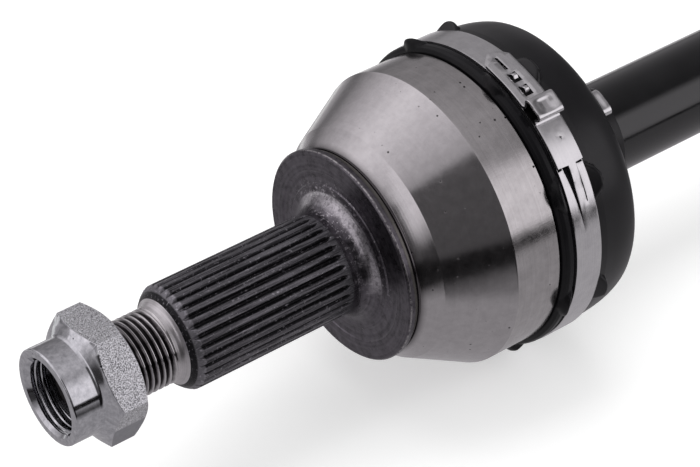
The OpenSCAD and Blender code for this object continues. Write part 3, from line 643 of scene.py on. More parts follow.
def helix_piece(name, before, rings, after, materials, zone=None, sharp=32):
    """Closed skin of plain rings, helical rings and plain rings. The helical rings carry one
    more column than the others, so that the end of a turn meets the start of the next."""
    n = len(rings[0])
    plain = [np.concatenate([r, r[:1]]) if len(r) > 1 else np.repeat(r, n, 0) for r in before]
    tail = [np.concatenate([r, r[:1]]) if len(r) > 1 else np.repeat(r, n, 0) for r in after]
    full = plain + rings + tail
    verts = np.concatenate(full)
    i = np.arange(len(full) - 1)[:, None]
    j = np.arange(n - 1)[None, :]
    faces = np.stack([i * n + j, i * n + j + 1, (i + 1) * n + j + 1, (i + 1) * n + j], -1).reshape(-1, 4)
    slots = None
    if zone is not None:
        centre = verts[faces].mean(1)
        slots = zone(np.repeat(np.arange(len(full) - 1), n - 1), np.degrees(np.arctan2(centre[:, 2], centre[:, 1])))
    return new_piece(name, verts, faces, materials, slots, sharp)


def hub_nut_piece():
    base = np.arange(0, 360, 1.5)
    corners = [NUT_TURN + 60 * k + d for k in range(6) for d in (-1.9, -1.3, -0.9, -0.45, 0, 0.45, 0.9, 1.3, 1.9)]
    near = [min(abs((b - c + 180) % 360 - 180) for c in corners) for b in base]
    degrees = np.sort(np.concatenate([base[np.array(near) > 0.3], np.mod(corners, 360)]))
    angles = np.radians(degrees)
    hexagon = hexagon_radius(angles, 18.0, 0.25)
    rows = []

    def row(x, r):
        rows.append(ring(x, r, angles))

    # outer skin: collar, cone, flats between the two chamfers, back face
    for x, r in rounded([(NUT_X0, 12.6), (NUT_X0, 15.0, 0.55), (-94.2, 15.0, 1.3), (HEX_X0 - 0.72, 17.0),
                         (HEX_X0, 18.0)])[:-1]:
        row(x, r)
    plain_rows = len(rows)
    front, back = HEX_X0 + (hexagon - 18.0) * 0.45, HEX_X1 - (hexagon - 18.0) * 0.58
    row(front - 0.06, hexagon - 0.08)
    row(front + 0.05, hexagon)
    for share in (0.04, 0.5, 0.96):
        row(front + 0.05 + (back - front - 0.1) * share, hexagon)
    row(back - 0.05, hexagon)
    row(back + 0.06, hexagon - 0.1)
    row(NUT_X1, 17.6)
    row(NUT_X1, 17.1)
    row(NUT_X1, 12.6)

    def bore_limit(x, r):
        return np.maximum(r, np.maximum(12.5 - (x - NUT_X0) * 0.9, 12.5 - (NUT_X1 - x) * 0.9))

    inner_angles = np.concatenate([angles, [angles[0] + 2 * math.pi]])
    inner = helix_rings(inner_angles, NUT_X0 + 0.02, NUT_X1 - 0.02, 11.95, 10.9, bore_limit)

    def zone(k, degrees):
        flat = (k >= plain_rows + 1) & (k < plain_rows + 5)
        # painted light: the flats that face up take the grain with painted glints, the others the plain copy of the
        # zinc
        lit_upper_flats = np.abs((degrees - NUT_TURN - 60 + 180) % 360 - 180) < 90
        return np.where(flat, np.where(lit_upper_flats, 1, 2), 0)

    return helix_piece("hub_nut_body", rows, inner[::-1], [rows[0]], [zinc, zinc_glint_flats, zinc_plain_flats], zone)


put(hub_nut_piece(), "nut", "nut_zinc", "hub_nut")


# Threaded end of the stub, with its chamfered tip, centre drilling and run-out at the neck
def stub_thread_piece():
    angles = full_turn(200)
    helical = np.concatenate([angles, [angles[0] + 2 * math.pi]])
    tip, end = -97.0, -66.3

    def limit(x, r):
        chamfer = 10.3 + (x - tip) * 1.0
        run_out = 10.8 + np.clip((x - (end - 2.2)) / 2.0, 0, 1) * 1.08
        return np.maximum(np.minimum(r, chamfer), run_out * (x > end - 2.2))

    before = [pole(tip + 4.6), ring(tip + 2.4, 1.2, angles), ring(tip + 0.12, 3.1, angles), ring(tip, 3.3, angles),
              ring(tip, 10.0, angles), ring(tip + 0.05, 10.25, angles)]
    threads = helix_rings(helical, tip + 0.1, end, 10.8, 11.87, limit)
    after = [ring(end + 0.3, 11.8, angles), pole(end + 0.3)]
    return helix_piece("stub_thread", before, threads, after, [thread_steel])


put(stub_thread_piece(), "wheel_end", "race_steel", "outer_race")


# Splined stub: V grooves that taper off at the flange end
TEETH = 32
SPLINE_X0, SPLINE_X1 = -63.6, -7.7


def groove_radius(angles):
    """Radius of the groove floor and flanks, for a cutter that leaves rounded roots."""
    off = np.abs(off_nearest(angles, TEETH)) * STUB_R
    floor = 15.25 + np.clip(off - 0.2, 0, None) * 1.55 + 0.12 * np.clip(off / 0.25, 0, 1) ** 2
    share = np.clip(0.5 + 0.5 * (16.5 - floor) / 0.3, 0, 1)
    return floor * share + 16.56 * (1 - share) - 0.3 * share * (1 - share)


def spline_piece():
    angles = full_turn(TEETH * 18)
    groove = groove_radius(angles)
    outline = rounded([(-66.9, 11.0), (-66.25, 11.9, 0.2), (-65.4, 11.95, 0.9), (-64.3, 12.45, 1.4), (-63.5, 13.6, 1.0),
                       (-63.0, 14.4, 0.8), (-61.9, 15.42, 0.12), (-60.5, 16.38, 0.2), (-59.9, STUB_R, 0.2),
                       (-57.0, STUB_R), (-34.0, STUB_R), (-11.5, STUB_R), (-6.9, STUB_R)])
    outline = subdivided(outline, -62.6, -57.05, 0.35)
    outline = subdivided(outline, -11.45, -7.0, 0.25)
    rings = [pole(-66.9)]
    for x, r in outline:
        lift = max(0.0, x - (SPLINE_X1 - 2.6)) ** 2 / 5.4
        if r > 15.0 and x > SPLINE_X0 - 0.2:
            rings.append(ring(x, np.minimum(r, groove + lift), angles))
        else:
            rings.append(ring(x, r, angles))
    rings.append(pole(-6.9))
    zone = lambda x, r, a: (r < 13.5).astype(int) * (x < -60).astype(int)
    return loft("stub_spline", rings, [spline_black, neck_bright], zone)


put(spline_piece(), "wheel_end", "race_steel", "outer_race")


# Flange, rim and bell, with the ball tracks inside
def track_reach(dx, angles):
    """Radius out to which a ball track opens at this station, 0 where there is none."""
    off = off_nearest(angles, 6, math.radians(30))
    reach = np.zeros_like(angles)
    for r in np.arange(20.0, 44.0, 0.05):
        y = r * np.cos(off)
        side = np.maximum(np.abs(r * np.sin(off)) - TRACK_SIDE, 0)
        inside = np.hypot(np.hypot(dx, y) - BALL_CIRCLE, side) <= TRACK_R
        reach = np.where(inside & (abs(dx) <= y * math.tan(math.radians(42))), r, reach)
    return reach


def bell_piece():
    angles = full_turn(384)
    fillet = [(-6 + 6 * math.sin(t), 22.5 - 6 * math.cos(t)) for t in np.radians(np.arange(0, 91, 7.5))]
    sweep = [(4.7 + u, 33.2 + 0.66 * u + 0.0195 * u * u) for u in np.arange(0.1, 5.71, 0.7)]
    outline = rounded([(-7.2, 16.5), *fillet, (0, 23.3, 0.2), (0.35, 23.7, 0.2), (0.35, 27.5, 0.2), (0, 27.9, 0.2),
                       (0, 33.5, 0.25), (0.6, FLANGE_R, 0.2), (2.1, FLANGE_R, 0.3), (2.4, 32.9, 0.2), (3.7, 32.9, 0.2),
                       (3.9, 33.5, 0.15), (4.4, 33.5, 0.15), (4.6, 33.0, 0.15), *sweep, (12.0, 38.44),
                       (29.5, BELL_R - 0.2, 0.12), (29.8, BELL_R, 0.12), (46.1, BELL_R, 0.35), (46.4, SEAT_R, 0.1),
                       (50.2, SEAT_R), (50.8, 44.9), (60.5, 44.9), (61.1, SEAT_R), (MOUTH_X, SEAT_R, 0.5),
                       (MOUTH_X, 43.5, 0.2), (61.5, 42.5)])
    rings = [pole(-7.2)] + [ring(x, r, angles) for x, r in outline]
    for dx in np.arange(21.0, -28.01, -1.0):
        ball = math.sqrt(CAGE_R ** 2 + 2 * CAGE_R * 0.3 - dx * dx)
        open_r = max(ball, dx + 21.0) if dx > 9 else ball
        rings.append(ring(JOINT_X + dx, np.maximum(track_reach(dx, angles), open_r), angles))
    rings += [ring(JOINT_X - 28.0, 19.0, angles), pole(JOINT_X - 28.0)]

    def zone(x, r, a):
        slot = np.full(len(x), 3)
        slot[(r > 33) & (x < 47) & (x > -1)] = 2
        slot[(r > 33) & (x > 2.7) & (x < 29.65)] = 1
        slot[(x <= 2.7) & (x > -8)] = 0
        slot[(x < 12.5) & (x > 2.7) & (r < 30)] = 3
        return slot

    return loft("race_bell", rings, [flange_dark, cone_steel, band_steel, bore_steel], zone)


put(bell_piece(), "wheel_end", "race_steel", "outer_race")


# Wheel end boot in two lengths that meet on the cage
LUGS, LUG_TURN = 8, math.radians(14)


def lugs_on(x, r, angles):
    """The lip's radius at station x, raised where a moulded lug stands beside the clamp. Its top
    rises away from the clamp and rolls over at the rim."""
    off = np.abs(off_nearest(angles, LUGS, LUG_TURN)) * 50.0
    for edge, way in ((CLAMP_X0 - 0.2, -1), (CLAMP_X0 + CLAMP_W + 0.2, 1)):
        centre = edge - way * 2.5
        if abs(x - edge) < 4.6 and (x - edge) * way > -0.05:
            near = np.hypot(off, x - centre) / 6.4
            rise = np.clip((1.03 - near) / 0.3, 0, 1)
            top = 49.5 + 2.5 * min(1.0, (x - edge) * way / 2.6)
            r = r + np.sqrt(rise * (2 - rise)) * np.maximum(top - r, 0)
    return r


def neck_stops(x, r, angles):
    """The neck's radius with four rounded stops behind the small clamp."""
    if r < BAR_R + 1.5 or x < SMALL_CLAMP_X0 + SMALL_CLAMP_W + 0.05:
        return r
    off = np.abs(off_nearest(angles, 4, math.radians(100))) * 18
    dome = np.sqrt(np.clip(1 - (off / 3.4) ** 2, 0, 1))
    fade = math.sqrt(max(0.0, 1 - ((x - SMALL_CLAMP_X0 - SMALL_CLAMP_W) / 4.5) ** 4))
    return np.maximum(r, BAR_R + 1.6 + 3.6 * dome * fade)


def wheel_boot_pieces():
    angles = full_turn(480)
    wall, drum_r, neck_r = 2.6, 47.95, BAR_R + 0.05
    neck_x, back_x = SMALL_CLAMP_X0 - 2.5, MOUTH_X + 12.8
    line = cut_corners([(MOUTH_X + 0.6, drum_r), (back_x - 3, drum_r - 0.7), (back_x + 3, drum_r - 3),
                        (back_x + 1.2, drum_r - 15), (back_x - 1.4, neck_r + 9), (back_x + 2, neck_r + 7),
                        (back_x + 4.2, neck_r + 16), (back_x + 7.4, neck_r + 13), (back_x + 5.6, neck_r + 3),
                        (neck_x + 1.5, neck_r + wall / 2)], 3)
    outer, inner = wall_sides(line, wall)
    late = np.where(line[:, 0] > back_x + 3.5)[0]
    seam = late[np.argmax(line[late, 1])]
    edge = CLAMP_X0 + CLAMP_W
    lip = rounded([(46.6, 46.2), (46.6, 48.2, 0.5), (47.1, 49.3, 0.6), (48.2, 49.8, 0.6), (49.7, 49.7, 0.3),
                   (50.5, 49.15, 0.1), (edge + 0.1, 49.15, 0.1), (edge + 0.25, drum_r + wall / 2 - 0.05, 0.1),
                   (outer[0][0] + 0.4, outer[1][1])])
    lip = subdivided(lip, 46.6, 50.5, 0.35)
    lip = subdivided(lip, edge + 0.2, edge + 4.6, 0.35)
    hidden = [(MOUTH_X + 0.3, 46.0), (61.1, SEAT_R + 0.05), (60.5, 44.95), (50.8, 44.95), (50.2, SEAT_R + 0.05),
              (46.7, SEAT_R + 0.05)]
    near_rings = [ring(x, lugs_on(x, r, angles), angles) for x, r in lip]
    near_rings += [ring(x, lugs_on(x, r, angles), angles) for x, r in outer[1:seam + 1]]
    near_rings += [ring(x, r, angles) for x, r in inner[seam::-1]]
    near_rings += [ring(x, r, angles) for x, r in hidden]
    # the lip side takes the rubber with less shine, a painted shade
    near = loft("wheel_boot_drum", near_rings, [rubber, dimmed_lip_rubber], lambda x, r, a: (x < edge + 0.3).astype(int),
                loop=True, sharp=50)
    c0, c1, top = SMALL_CLAMP_X0 - 0.1, SMALL_CLAMP_X0 + SMALL_CLAMP_W + 0.1, neck_r + wall
    neck = rounded([(neck_x + 1.6, top - 0.05), (c0, top, 0.1), (c0, top - 0.4, 0.1), (c1, top - 0.4, 0.1),
                    (c1, top + 0.3, 0.2), (NECK_END - 0.3, top - 0.2, 0.5), (NECK_END, top - 0.9, 0.3),
                    (NECK_END, neck_r, 0.2), (neck_x, neck_r)])
    neck = subdivided(neck, c1 - 0.1, NECK_END, 0.3)
    far_outer = [p for p in outer[seam:] if p[0] < neck_x + 1.3 or p[1] > neck_r + wall + 0.3]
    far_inner = [p for p in inner[seam:] if p[1] > neck_r + 0.3]
    far_rings = [ring(x, neck_stops(x, r, angles), angles) for x, r in [*far_outer, *neck, *far_inner[::-1]]]
    far = loft("wheel_boot_neck", far_rings, [rubber], loop=True, sharp=50)
    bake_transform(near)
    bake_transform(far)
    put(near, None, "boot_rubber", "wheel_boot")
    put(far, None, "boot_rubber", "wheel_boot")


wheel_boot_pieces()


# Stepless ear clamps: sheet strips cut flat, bent round the shaft, and given their thickness
def sheet_points(polygon, step):
    """The polygon's corners with points between them, at most step apart."""
    out = []
    for a, b in zip(polygon, polygon[1:] + polygon[:1]):
        a, b = np.array(a, float), np.array(b, float)
        count = max(1, math.ceil(np.linalg.norm(b - a) / step))
        out += [tuple(a + (b - a) * k / count) for k in range(count)]
    return out


def inside(points, polygon):
    p = np.array(polygon, float)
    x, y = points[:, 0], points[:, 1]
    hit = np.zeros(len(points), bool)
    for (ax, ay), (bx, by) in zip(p, np.roll(p, -1, 0)):
        cross = ((ay > y) != (by > y))
        with np.errstate(divide="ignore", invalid="ignore"):
            hit ^= cross & (x < (bx - ax) * (y - ay) / (by - ay) + ax)
    return hit


def strip(name, outline, holes, radius, thickness, centre_x, turn, nominal, materials, step=1.2, closed_ring=False):
    """A sheet cut to outline (arc mm, across mm), with holes, bent to radius(arc, across)."""
    loops = [sheet_points(p, step) for p in [outline, *holes]]
    points = [p for one in loops for p in one]
    edges, at = [], 0
    for one in loops:
        edges += [(at + k, at + (k + 1) % len(one)) for k in range(len(one))]
        at += len(one)
    lo, hi = np.min(outline, 0), np.max(outline, 0)
    grid = np.array([(a, b) for a in np.arange(lo[0] + step / 2, hi[0], step)
                     for b in np.linspace(lo[1] + 0.5, hi[1] - 0.5, max(2, int((hi[1] - lo[1]) / 1.6)))])
    keep = inside(grid, outline)
    for h in holes:
        keep &= ~inside(grid, h)
    border = np.array(points)
    for k in np.where(keep)[0]:
        keep[k] = np.min(np.hypot(*(border - grid[k]).T)) > 0.45
    points += [tuple(g) for g in grid[keep]]
    verts, _, tris, *_ = delaunay_2d_cdt([Vector(p) for p in points], edges, [], 0, 1e-5)
    flat = np.array([(v.x, v.y) for v in verts])
    tris = np.array([t for t in tris if len(t) == 3])
    middle = flat[tris].mean(1)
    ok = inside(middle, outline)
    for h in holes:
        ok &= ~inside(middle, h)
    tris = tris[ok]
    arc, across = flat[:, 0], flat[:, 1]
    inner_r = radius(arc, across)
    angle = turn + arc / nominal
    n = len(flat)
    low = np.stack([centre_x + across, inner_r * np.cos(angle), inner_r * np.sin(angle)], 1)
    high_r = inner_r + thickness
    high = np.stack([centre_x + across, high_r * np.cos(angle), high_r * np.sin(angle)], 1)
    faces = [tuple(t) for t in tris] + [tuple(t[::-1] + n) for t in tris]
    seen = {}
    for t in tris:
        for a, b in ((t[0], t[1]), (t[1], t[2]), (t[2], t[0])):
            seen[(a, b)] = seen.get((a, b), 0) + 1
    lo_arc, hi_arc = lo[0] + 1e-4, hi[0] - 1e-4
    for a, b in seen:
        if (b, a) in seen:
            continue
        if closed_ring and ((arc[a] < lo_arc and arc[b] < lo_arc) or (arc[a] > hi_arc and arc[b] > hi_arc)):
            continue
        faces.append((b, a, a + n, b + n))
    slots = np.zeros(len(faces), int)
    # the outer face under the ear takes the second finish: painted shade for the hollow under the ear
    slots[len(tris):2 * len(tris)] = np.abs(flat[tris].mean(1)[:, 0]) < 2.7
    piece = new_piece(name, np.concatenate([low, high]), faces, materials, slots, sharp=40)
    bevel = piece.modifiers.new("edges", "BEVEL")
    bevel.width, bevel.segments, bevel.limit_method, bevel.angle_limit = 0.00016, 2, "ANGLE", math.radians(55)
    return piece


def joined(pieces, name, materials):
    """Applies the modifiers of several pieces and makes them one mesh."""
    graph = bpy.context.evaluated_depsgraph_get()
    work = bmesh.new()
    for p in pieces:
        work.from_mesh(bpy.data.meshes.new_from_object(p.evaluated_get(graph)))
        bpy.data.objects.remove(p)
    mesh = bpy.data.meshes.new(name)
    work.to_mesh(mesh)
    work.free()
    for m in materials:
        mesh.materials.append(m)
    smooth(mesh, 38)
    return linked(name, mesh)


def ear_strip(name, centre_x, width, turn, nominal, materials, height):
    """The pinched ear: a folded strip with narrow waist, rounded shoulders and a dimple."""
    half = [(5.6, 0.3), (4.5, 0.3), (3.3, 0.45), (2.6, 0.9), (2.4, 1.5), (2.85, 2.2), (3.3, 2.7), (3.15, 3.3),
            (2.5, 3.65), (1.2, 3.7), (0.0, 3.6)]
    half = [(s, 0.3 + (h - 0.3) * height / 3.2) for s, h in half]
    path = cut_corners(half + [(-s, h) for s, h in half[-2::-1]], 2)
    d = np.gradient(path, axis=0)
    d /= np.linalg.norm(d, axis=1)[:, None]
    normal = np.stack([d[:, 1], -d[:, 0]], 1)
    verts, m = [], len(path)
    stations = np.array([-0.5, -0.485, -0.46, -0.38, -0.3, -0.22, -0.14, -0.07, 0, 0.07, 0.14, 0.22, 0.3, 0.38, 0.46,
                         0.485, 0.5]) * width
    for k, b in enumerate(stations):
        half_t = 0.4 * (0.8 if k in (0, len(stations) - 1) else 1.0)
        dimple = np.exp(-(b / (0.28 * width)) ** 6 - (path[:, 0] / 1.9) ** 6) * (path[:, 1] > 2.4)
        dimple = (0.5 if height < 5 else 0.1) * dimple
        line = path - np.stack([np.zeros(m), dimple], 1)
        for side in (1, -1):
            p = line + normal * half_t * side
            angle, r = turn + p[:, 0] / nominal, nominal + p[:, 1]
            rows = np.stack([np.full(m, centre_x + b), r * np.cos(angle), r * np.sin(angle)], 1)
            verts.append(rows if side == 1 else rows[::-1])
    rings = [np.concatenate(verts[k:k + 2]) for k in range(0, len(verts), 2)]
    n = 2 * m
    faces = []
    for k in range(len(rings) - 1):
        faces += [(k * n + j, k * n + (j + 1) % n, (k + 1) * n + (j + 1) % n, (k + 1) * n + j) for j in range(n)]
    for k in (0, len(rings) - 1):
        faces += [(k * n + j, k * n + j + 1, k * n + n - 2 - j, k * n + n - 1 - j) for j in range(m - 1)]
    # the inside of the loop takes the second finish: painted shade
    slots = [int(j >= m and 4 < j - m < m - 4) for _ in range(len(rings) - 1) for j in range(n)] + [0] * 2 * (m - 1)
    return new_piece(name, np.concatenate(rings), faces, materials, slots, sharp=45)


def ear_clamp(name, x0, width, inner_r, ear_degrees, body, node, ear_h=3.7):
    nominal = inner_r + BAND_T
    turn, centre = math.radians(ear_degrees), x0 + width / 2
    w = width / 2
    steels = [stainless, ear_hollow_shade]
    whole = 2 * math.pi * nominal
    start = -whole / 2
    slit_from, slit_to = 17.9, min(38.0, whole * 0.42)
    slot_end = slit_from + (slit_to - slit_from) * 0.62
    windows = [[(c - 1.9, -1.75), (c + 1.9, -1.75), (c + 1.9, 1.35), (c - 1.9, 1.35)] for c in (-12.9, -7.5)]
    slot = [(-22.0, -0.25), (-21.5, -0.65), (-16.6, -0.85), (-16.3, 0.3), (-21.5, 0.2)]
    rails = [[(slit_from, -0.6 * w), (slit_to, -0.19 * w), (slit_from, -0.17 * w)],
             [(slit_from, 0.4 * w), (slot_end, 0.4 * w), (slot_end, 0.46 * w), (slit_from, 0.46 * w)],
             [(slit_from, -0.96 * w), (slit_from + 0.9, -0.96 * w), (slit_from + 0.7, -0.64 * w),
              (slit_from, -0.64 * w)],
             [(slit_from, 0.5 * w), (slit_from + 0.7, 0.5 * w), (slit_from + 0.8, 0.95 * w),
              (slit_from, 0.95 * w)]]
    band = strip("band", [(start, -w), (start + whole, -w), (start + whole, w), (start, w)],
                 [*windows, slot, *rails], lambda a, b: np.full_like(a, inner_r), BAND_T, centre, turn, nominal,
                 steels, closed_ring=True)
    tail_r = lambda a, b: nominal + 0.01 + 0.7 * (np.clip((-15.5 - a) / 8.8, 0, 1)) ** 1.5
    tail = strip("tail", [(-3.4, -w), (-3.4, w), (-21.4, w), (-24.3, 0.42 * w), (-24.3, -0.3 * w), (-21.6, -0.93 * w),
                          (-20.6, -w)][::-1], [*windows, slot], tail_r, BAND_T, centre, turn, nominal, steels)

    def tongue_r(arc, across):
        down = np.clip((arc - 18.0) / 9.0, 0, 1)
        return nominal + 0.01 - (BAND_T + 0.04) * down * down * (3 - 2 * down)

    apron = strip("apron", [(3.4, -w), (17.9, -w), (18.1, -0.2 * w), (slot_end, -0.2 * w), (slot_end, 0.38 * w),
                            (18.1, 0.38 * w), (17.9, w), (3.4, w)],
                  [[(9.2, 0.7), (9.7, 0.45), (10.3, 0.8), (9.7, 1.15)]], tongue_r, BAND_T, centre,
                  turn, nominal, steels)
    hooks = []
    for k, c in enumerate((-12.9, -7.5)):
        arch = lambda a, b, c=c: nominal - 0.3 + 1.7 * np.cos(np.clip((a - c + 0.3) / 2.2, -1, 1) * math.pi / 2) ** 2
        hooks.append(strip(f"hook{k}", [(c - 2.3, -1.0), (c + 0.8, -1.0), (c + 0.8, 0.6), (c - 2.3, 0.6)], [], arch,
                           0.5, centre, turn, nominal, steels, step=0.3))
    ear = ear_strip("ear", centre, width * 0.97, turn, nominal, steels, ear_h)
    whole_clamp = joined([band, tail, apron, *hooks, ear], name, steels)
    return put(whole_clamp, body, "clamp_stainless", node)


ear_clamp("wheel_clamp_large", CLAMP_X0, CLAMP_W, 49.2, 120, "wheel_end", "wheel_boot_clamp_large")
ear_clamp("wheel_clamp_small", SMALL_CLAMP_X0, SMALL_CLAMP_W, 17.55, 116, "shaft", "wheel_boot_clamp_small", 5.4)
ear_clamp("box_clamp_large", BOX_CLAMP_X0, BOX_CLAMP_W, 43.05, 105, "housing", "box_boot_clamp_large")
ear_clamp("box_clamp_small", BOX_SMALL_X0, BOX_SMALL_W, 17.1, 80, "shaft", "box_boot_clamp_small")


# Bar with its boot seats and necks. Its ends are plain here: the splines are left out
def bar_piece():
    r, neck, end = BAR_R, 12.2, 13.0
    outline = rounded([(24.0, 0), (24.0, 11.8, 0.4), (25.2, 13.0, 0.2), (26.6, 13.0, 0.1), (26.6, 11.4, 0.1),
                       (28.0, 11.4, 0.1), (28.0, end, 0.1), (52.0, end, 0.5), (54.0, neck, 2), (86.0, neck, 3),
                       (88.8, r, 2), (89.0, r), (89.4, r - 0.4), (95.6, r - 0.4), (96.0, r), (310.0, r, 1),
                       (320.0, r, 3), (326.0, neck, 3), (405.6, neck, 2), (407.6, end, 1), (411.6, end, 0.1),
                       (411.6, 11.4, 0.1), (413.0, 11.4, 0.1), (413.0, end, 0.1), (437.0, end, 0.1),
                       (437.0, 11.4, 0.1), (438.4, 11.4, 0.1), (438.4, end, 0.1), (439.8, end, 0.1), (440.8, 12.0, 0.1),
                       (440.8, 0)])
    outline = subdivided(outline, 97, 320, 12)
    zone = lambda x, rr, a: ((x < 53) | (x > 407)).astype(int)
    return lathe("bar", outline, [bar_black, bar_end_steel], columns=192, zone=zone)


put(bar_piece(), "shaft", "bar_paint", "bar_shaft")


# Tripod housing: forged lobes and flutes outside, ground roller tracks inside
def lobe_radius(angles, lobe_at, lobe_r, flute_r, top, blend):
    """Polar outline of the lobes, flutes and turned top, with blended valleys."""
    lobe = circle_reach(off_nearest(angles, 3, math.pi / 2), lobe_at, lobe_r)
    h = np.clip(0.5 + 0.5 * (lobe - flute_r) / blend, 0, 1)
    body = lobe * h + flute_r * (1 - h) + blend * h * (1 - h)
    k = np.clip(0.5 + 0.5 * (top - body) / 0.8, 0, 1)
    return body * k + top * (1 - k) - 0.8 * k * (1 - k)


def housing_piece():
    angles = full_turn(360)
    lobed = lobe_radius(angles, 20.2, 21.2, 29.0, HOUSING_R, 3.0)
    rings = []
    for x, cut in ((HOUSING_X0, 1.0), (HOUSING_X0 + 0.3, 0.35), (HOUSING_X0 + 1.0, 0.0), (HOUSING_X0 + 1.3, 0.0)):
        rings.append(ring(x, np.minimum(lobed, HOUSING_R - cut), angles))
    for x in np.arange(HOUSING_X0 + 4, 458, 4.0):
        rings.append(ring(x, lobed, angles))
    for share in np.linspace(0, 1, 9):
        limit = HOUSING_R - (HOUSING_R - 31.0) * (1 - math.cos(share * math.pi / 2))
        x = 459.7 + 6 * math.sin(share * math.pi / 2)
        rings.append(ring(x, np.minimum(lobed, limit), angles))
    tail = rounded([(465.7, 30.6), (467.5, 23.0, 1.0), (469.5, 23.0, 0.3), (469.5, 19.4, 0.2), (JOURNAL_X0, 19.4, 0.1),
                    (471.6, JOURNAL_R, 0.1), (JOURNAL_X1 - 1.2, JOURNAL_R, 0.3), (JOURNAL_X1, 18.8, 0.2),
                    (JOURNAL_X1, 15.0, 0.4), (JOURNAL_X1 + 2, 15.0, 0.2), (JOURNAL_X1 + 3, 12.8, 0.2)])
    rings += [ring(x, r, angles) for x, r in tail]
    rings.append(pole(JOURNAL_X1 + 3))
    off = off_nearest(angles, 3, math.pi / 2)
    pocket = circle_reach(off, POCKET_AT, POCKET_R)
    pocket = np.minimum(pocket, 34.8 / np.maximum(np.cos(off), 0.5))
    pocket = np.maximum(pocket, 25.0)
    inner = [pole(464.1), ring(464.1, 16.8, angles), ring(461.8, 17.0, angles), ring(BASE_X, 17.2, angles),
             ring(BASE_X, pocket - 0.3, angles), ring(BASE_X - 0.3, pocket, angles)]
    inner += [ring(x, pocket, angles) for x in np.arange(456, HOUSING_X0 + 2, -6.0)]
    inner += [ring(HOUSING_X0 + 0.4, pocket, angles), ring(HOUSING_X0, pocket + 0.4, angles)]

    def zone(x, r, a):
        slot = np.zeros(len(x), int)
        slot[(x > 469.4) & (r > 14.8)] = 1
        return slot

    return loft("joint_housing", inner + rings, [housing_black, journal_ground], zone)


put(housing_piece(), "housing", "housing_steel", "tripod_housing")


def box_spline_piece():
    teeth, tip, x0, x1 = 27, 14.0, JOURNAL_X1 + 2.6, BOX_END
    angles = full_turn(teeth * 14)
    off = np.abs(off_nearest(angles, teeth)) * tip
    groove = tip - 1.1 + np.clip(off - 0.26, 0, None) * 1.75
    outline = rounded([(x0, tip), (x1 - 5.0, tip, 0.1), (x1 - 5.0, 12.4, 0.1), (x1 - 3.6, 12.4, 0.1),
                       (x1 - 3.6, tip, 0.1), (x1 - 1.2, tip, 0.2), (x1, tip - 1.2, 0.2), (x1, 3.3, 0.1)])
    outline = subdivided(outline, x0, x0 + 7, 0.4)
    rings = [pole(x0)]
    for x, r in outline:
        lift = max(0.0, x0 + 5.0 - x) ** 2 / 18.0
        rings.append(ring(x, np.minimum(r, groove + lift) if r > 12.8 else r, angles))
    rings += [ring(x1 - 2.4, 1.2, angles), pole(x1 - 4.8)]
    return loft("gearbox_spline", rings, [spline_black])


put(box_spline_piece(), "housing", "housing_steel", "tripod_housing")


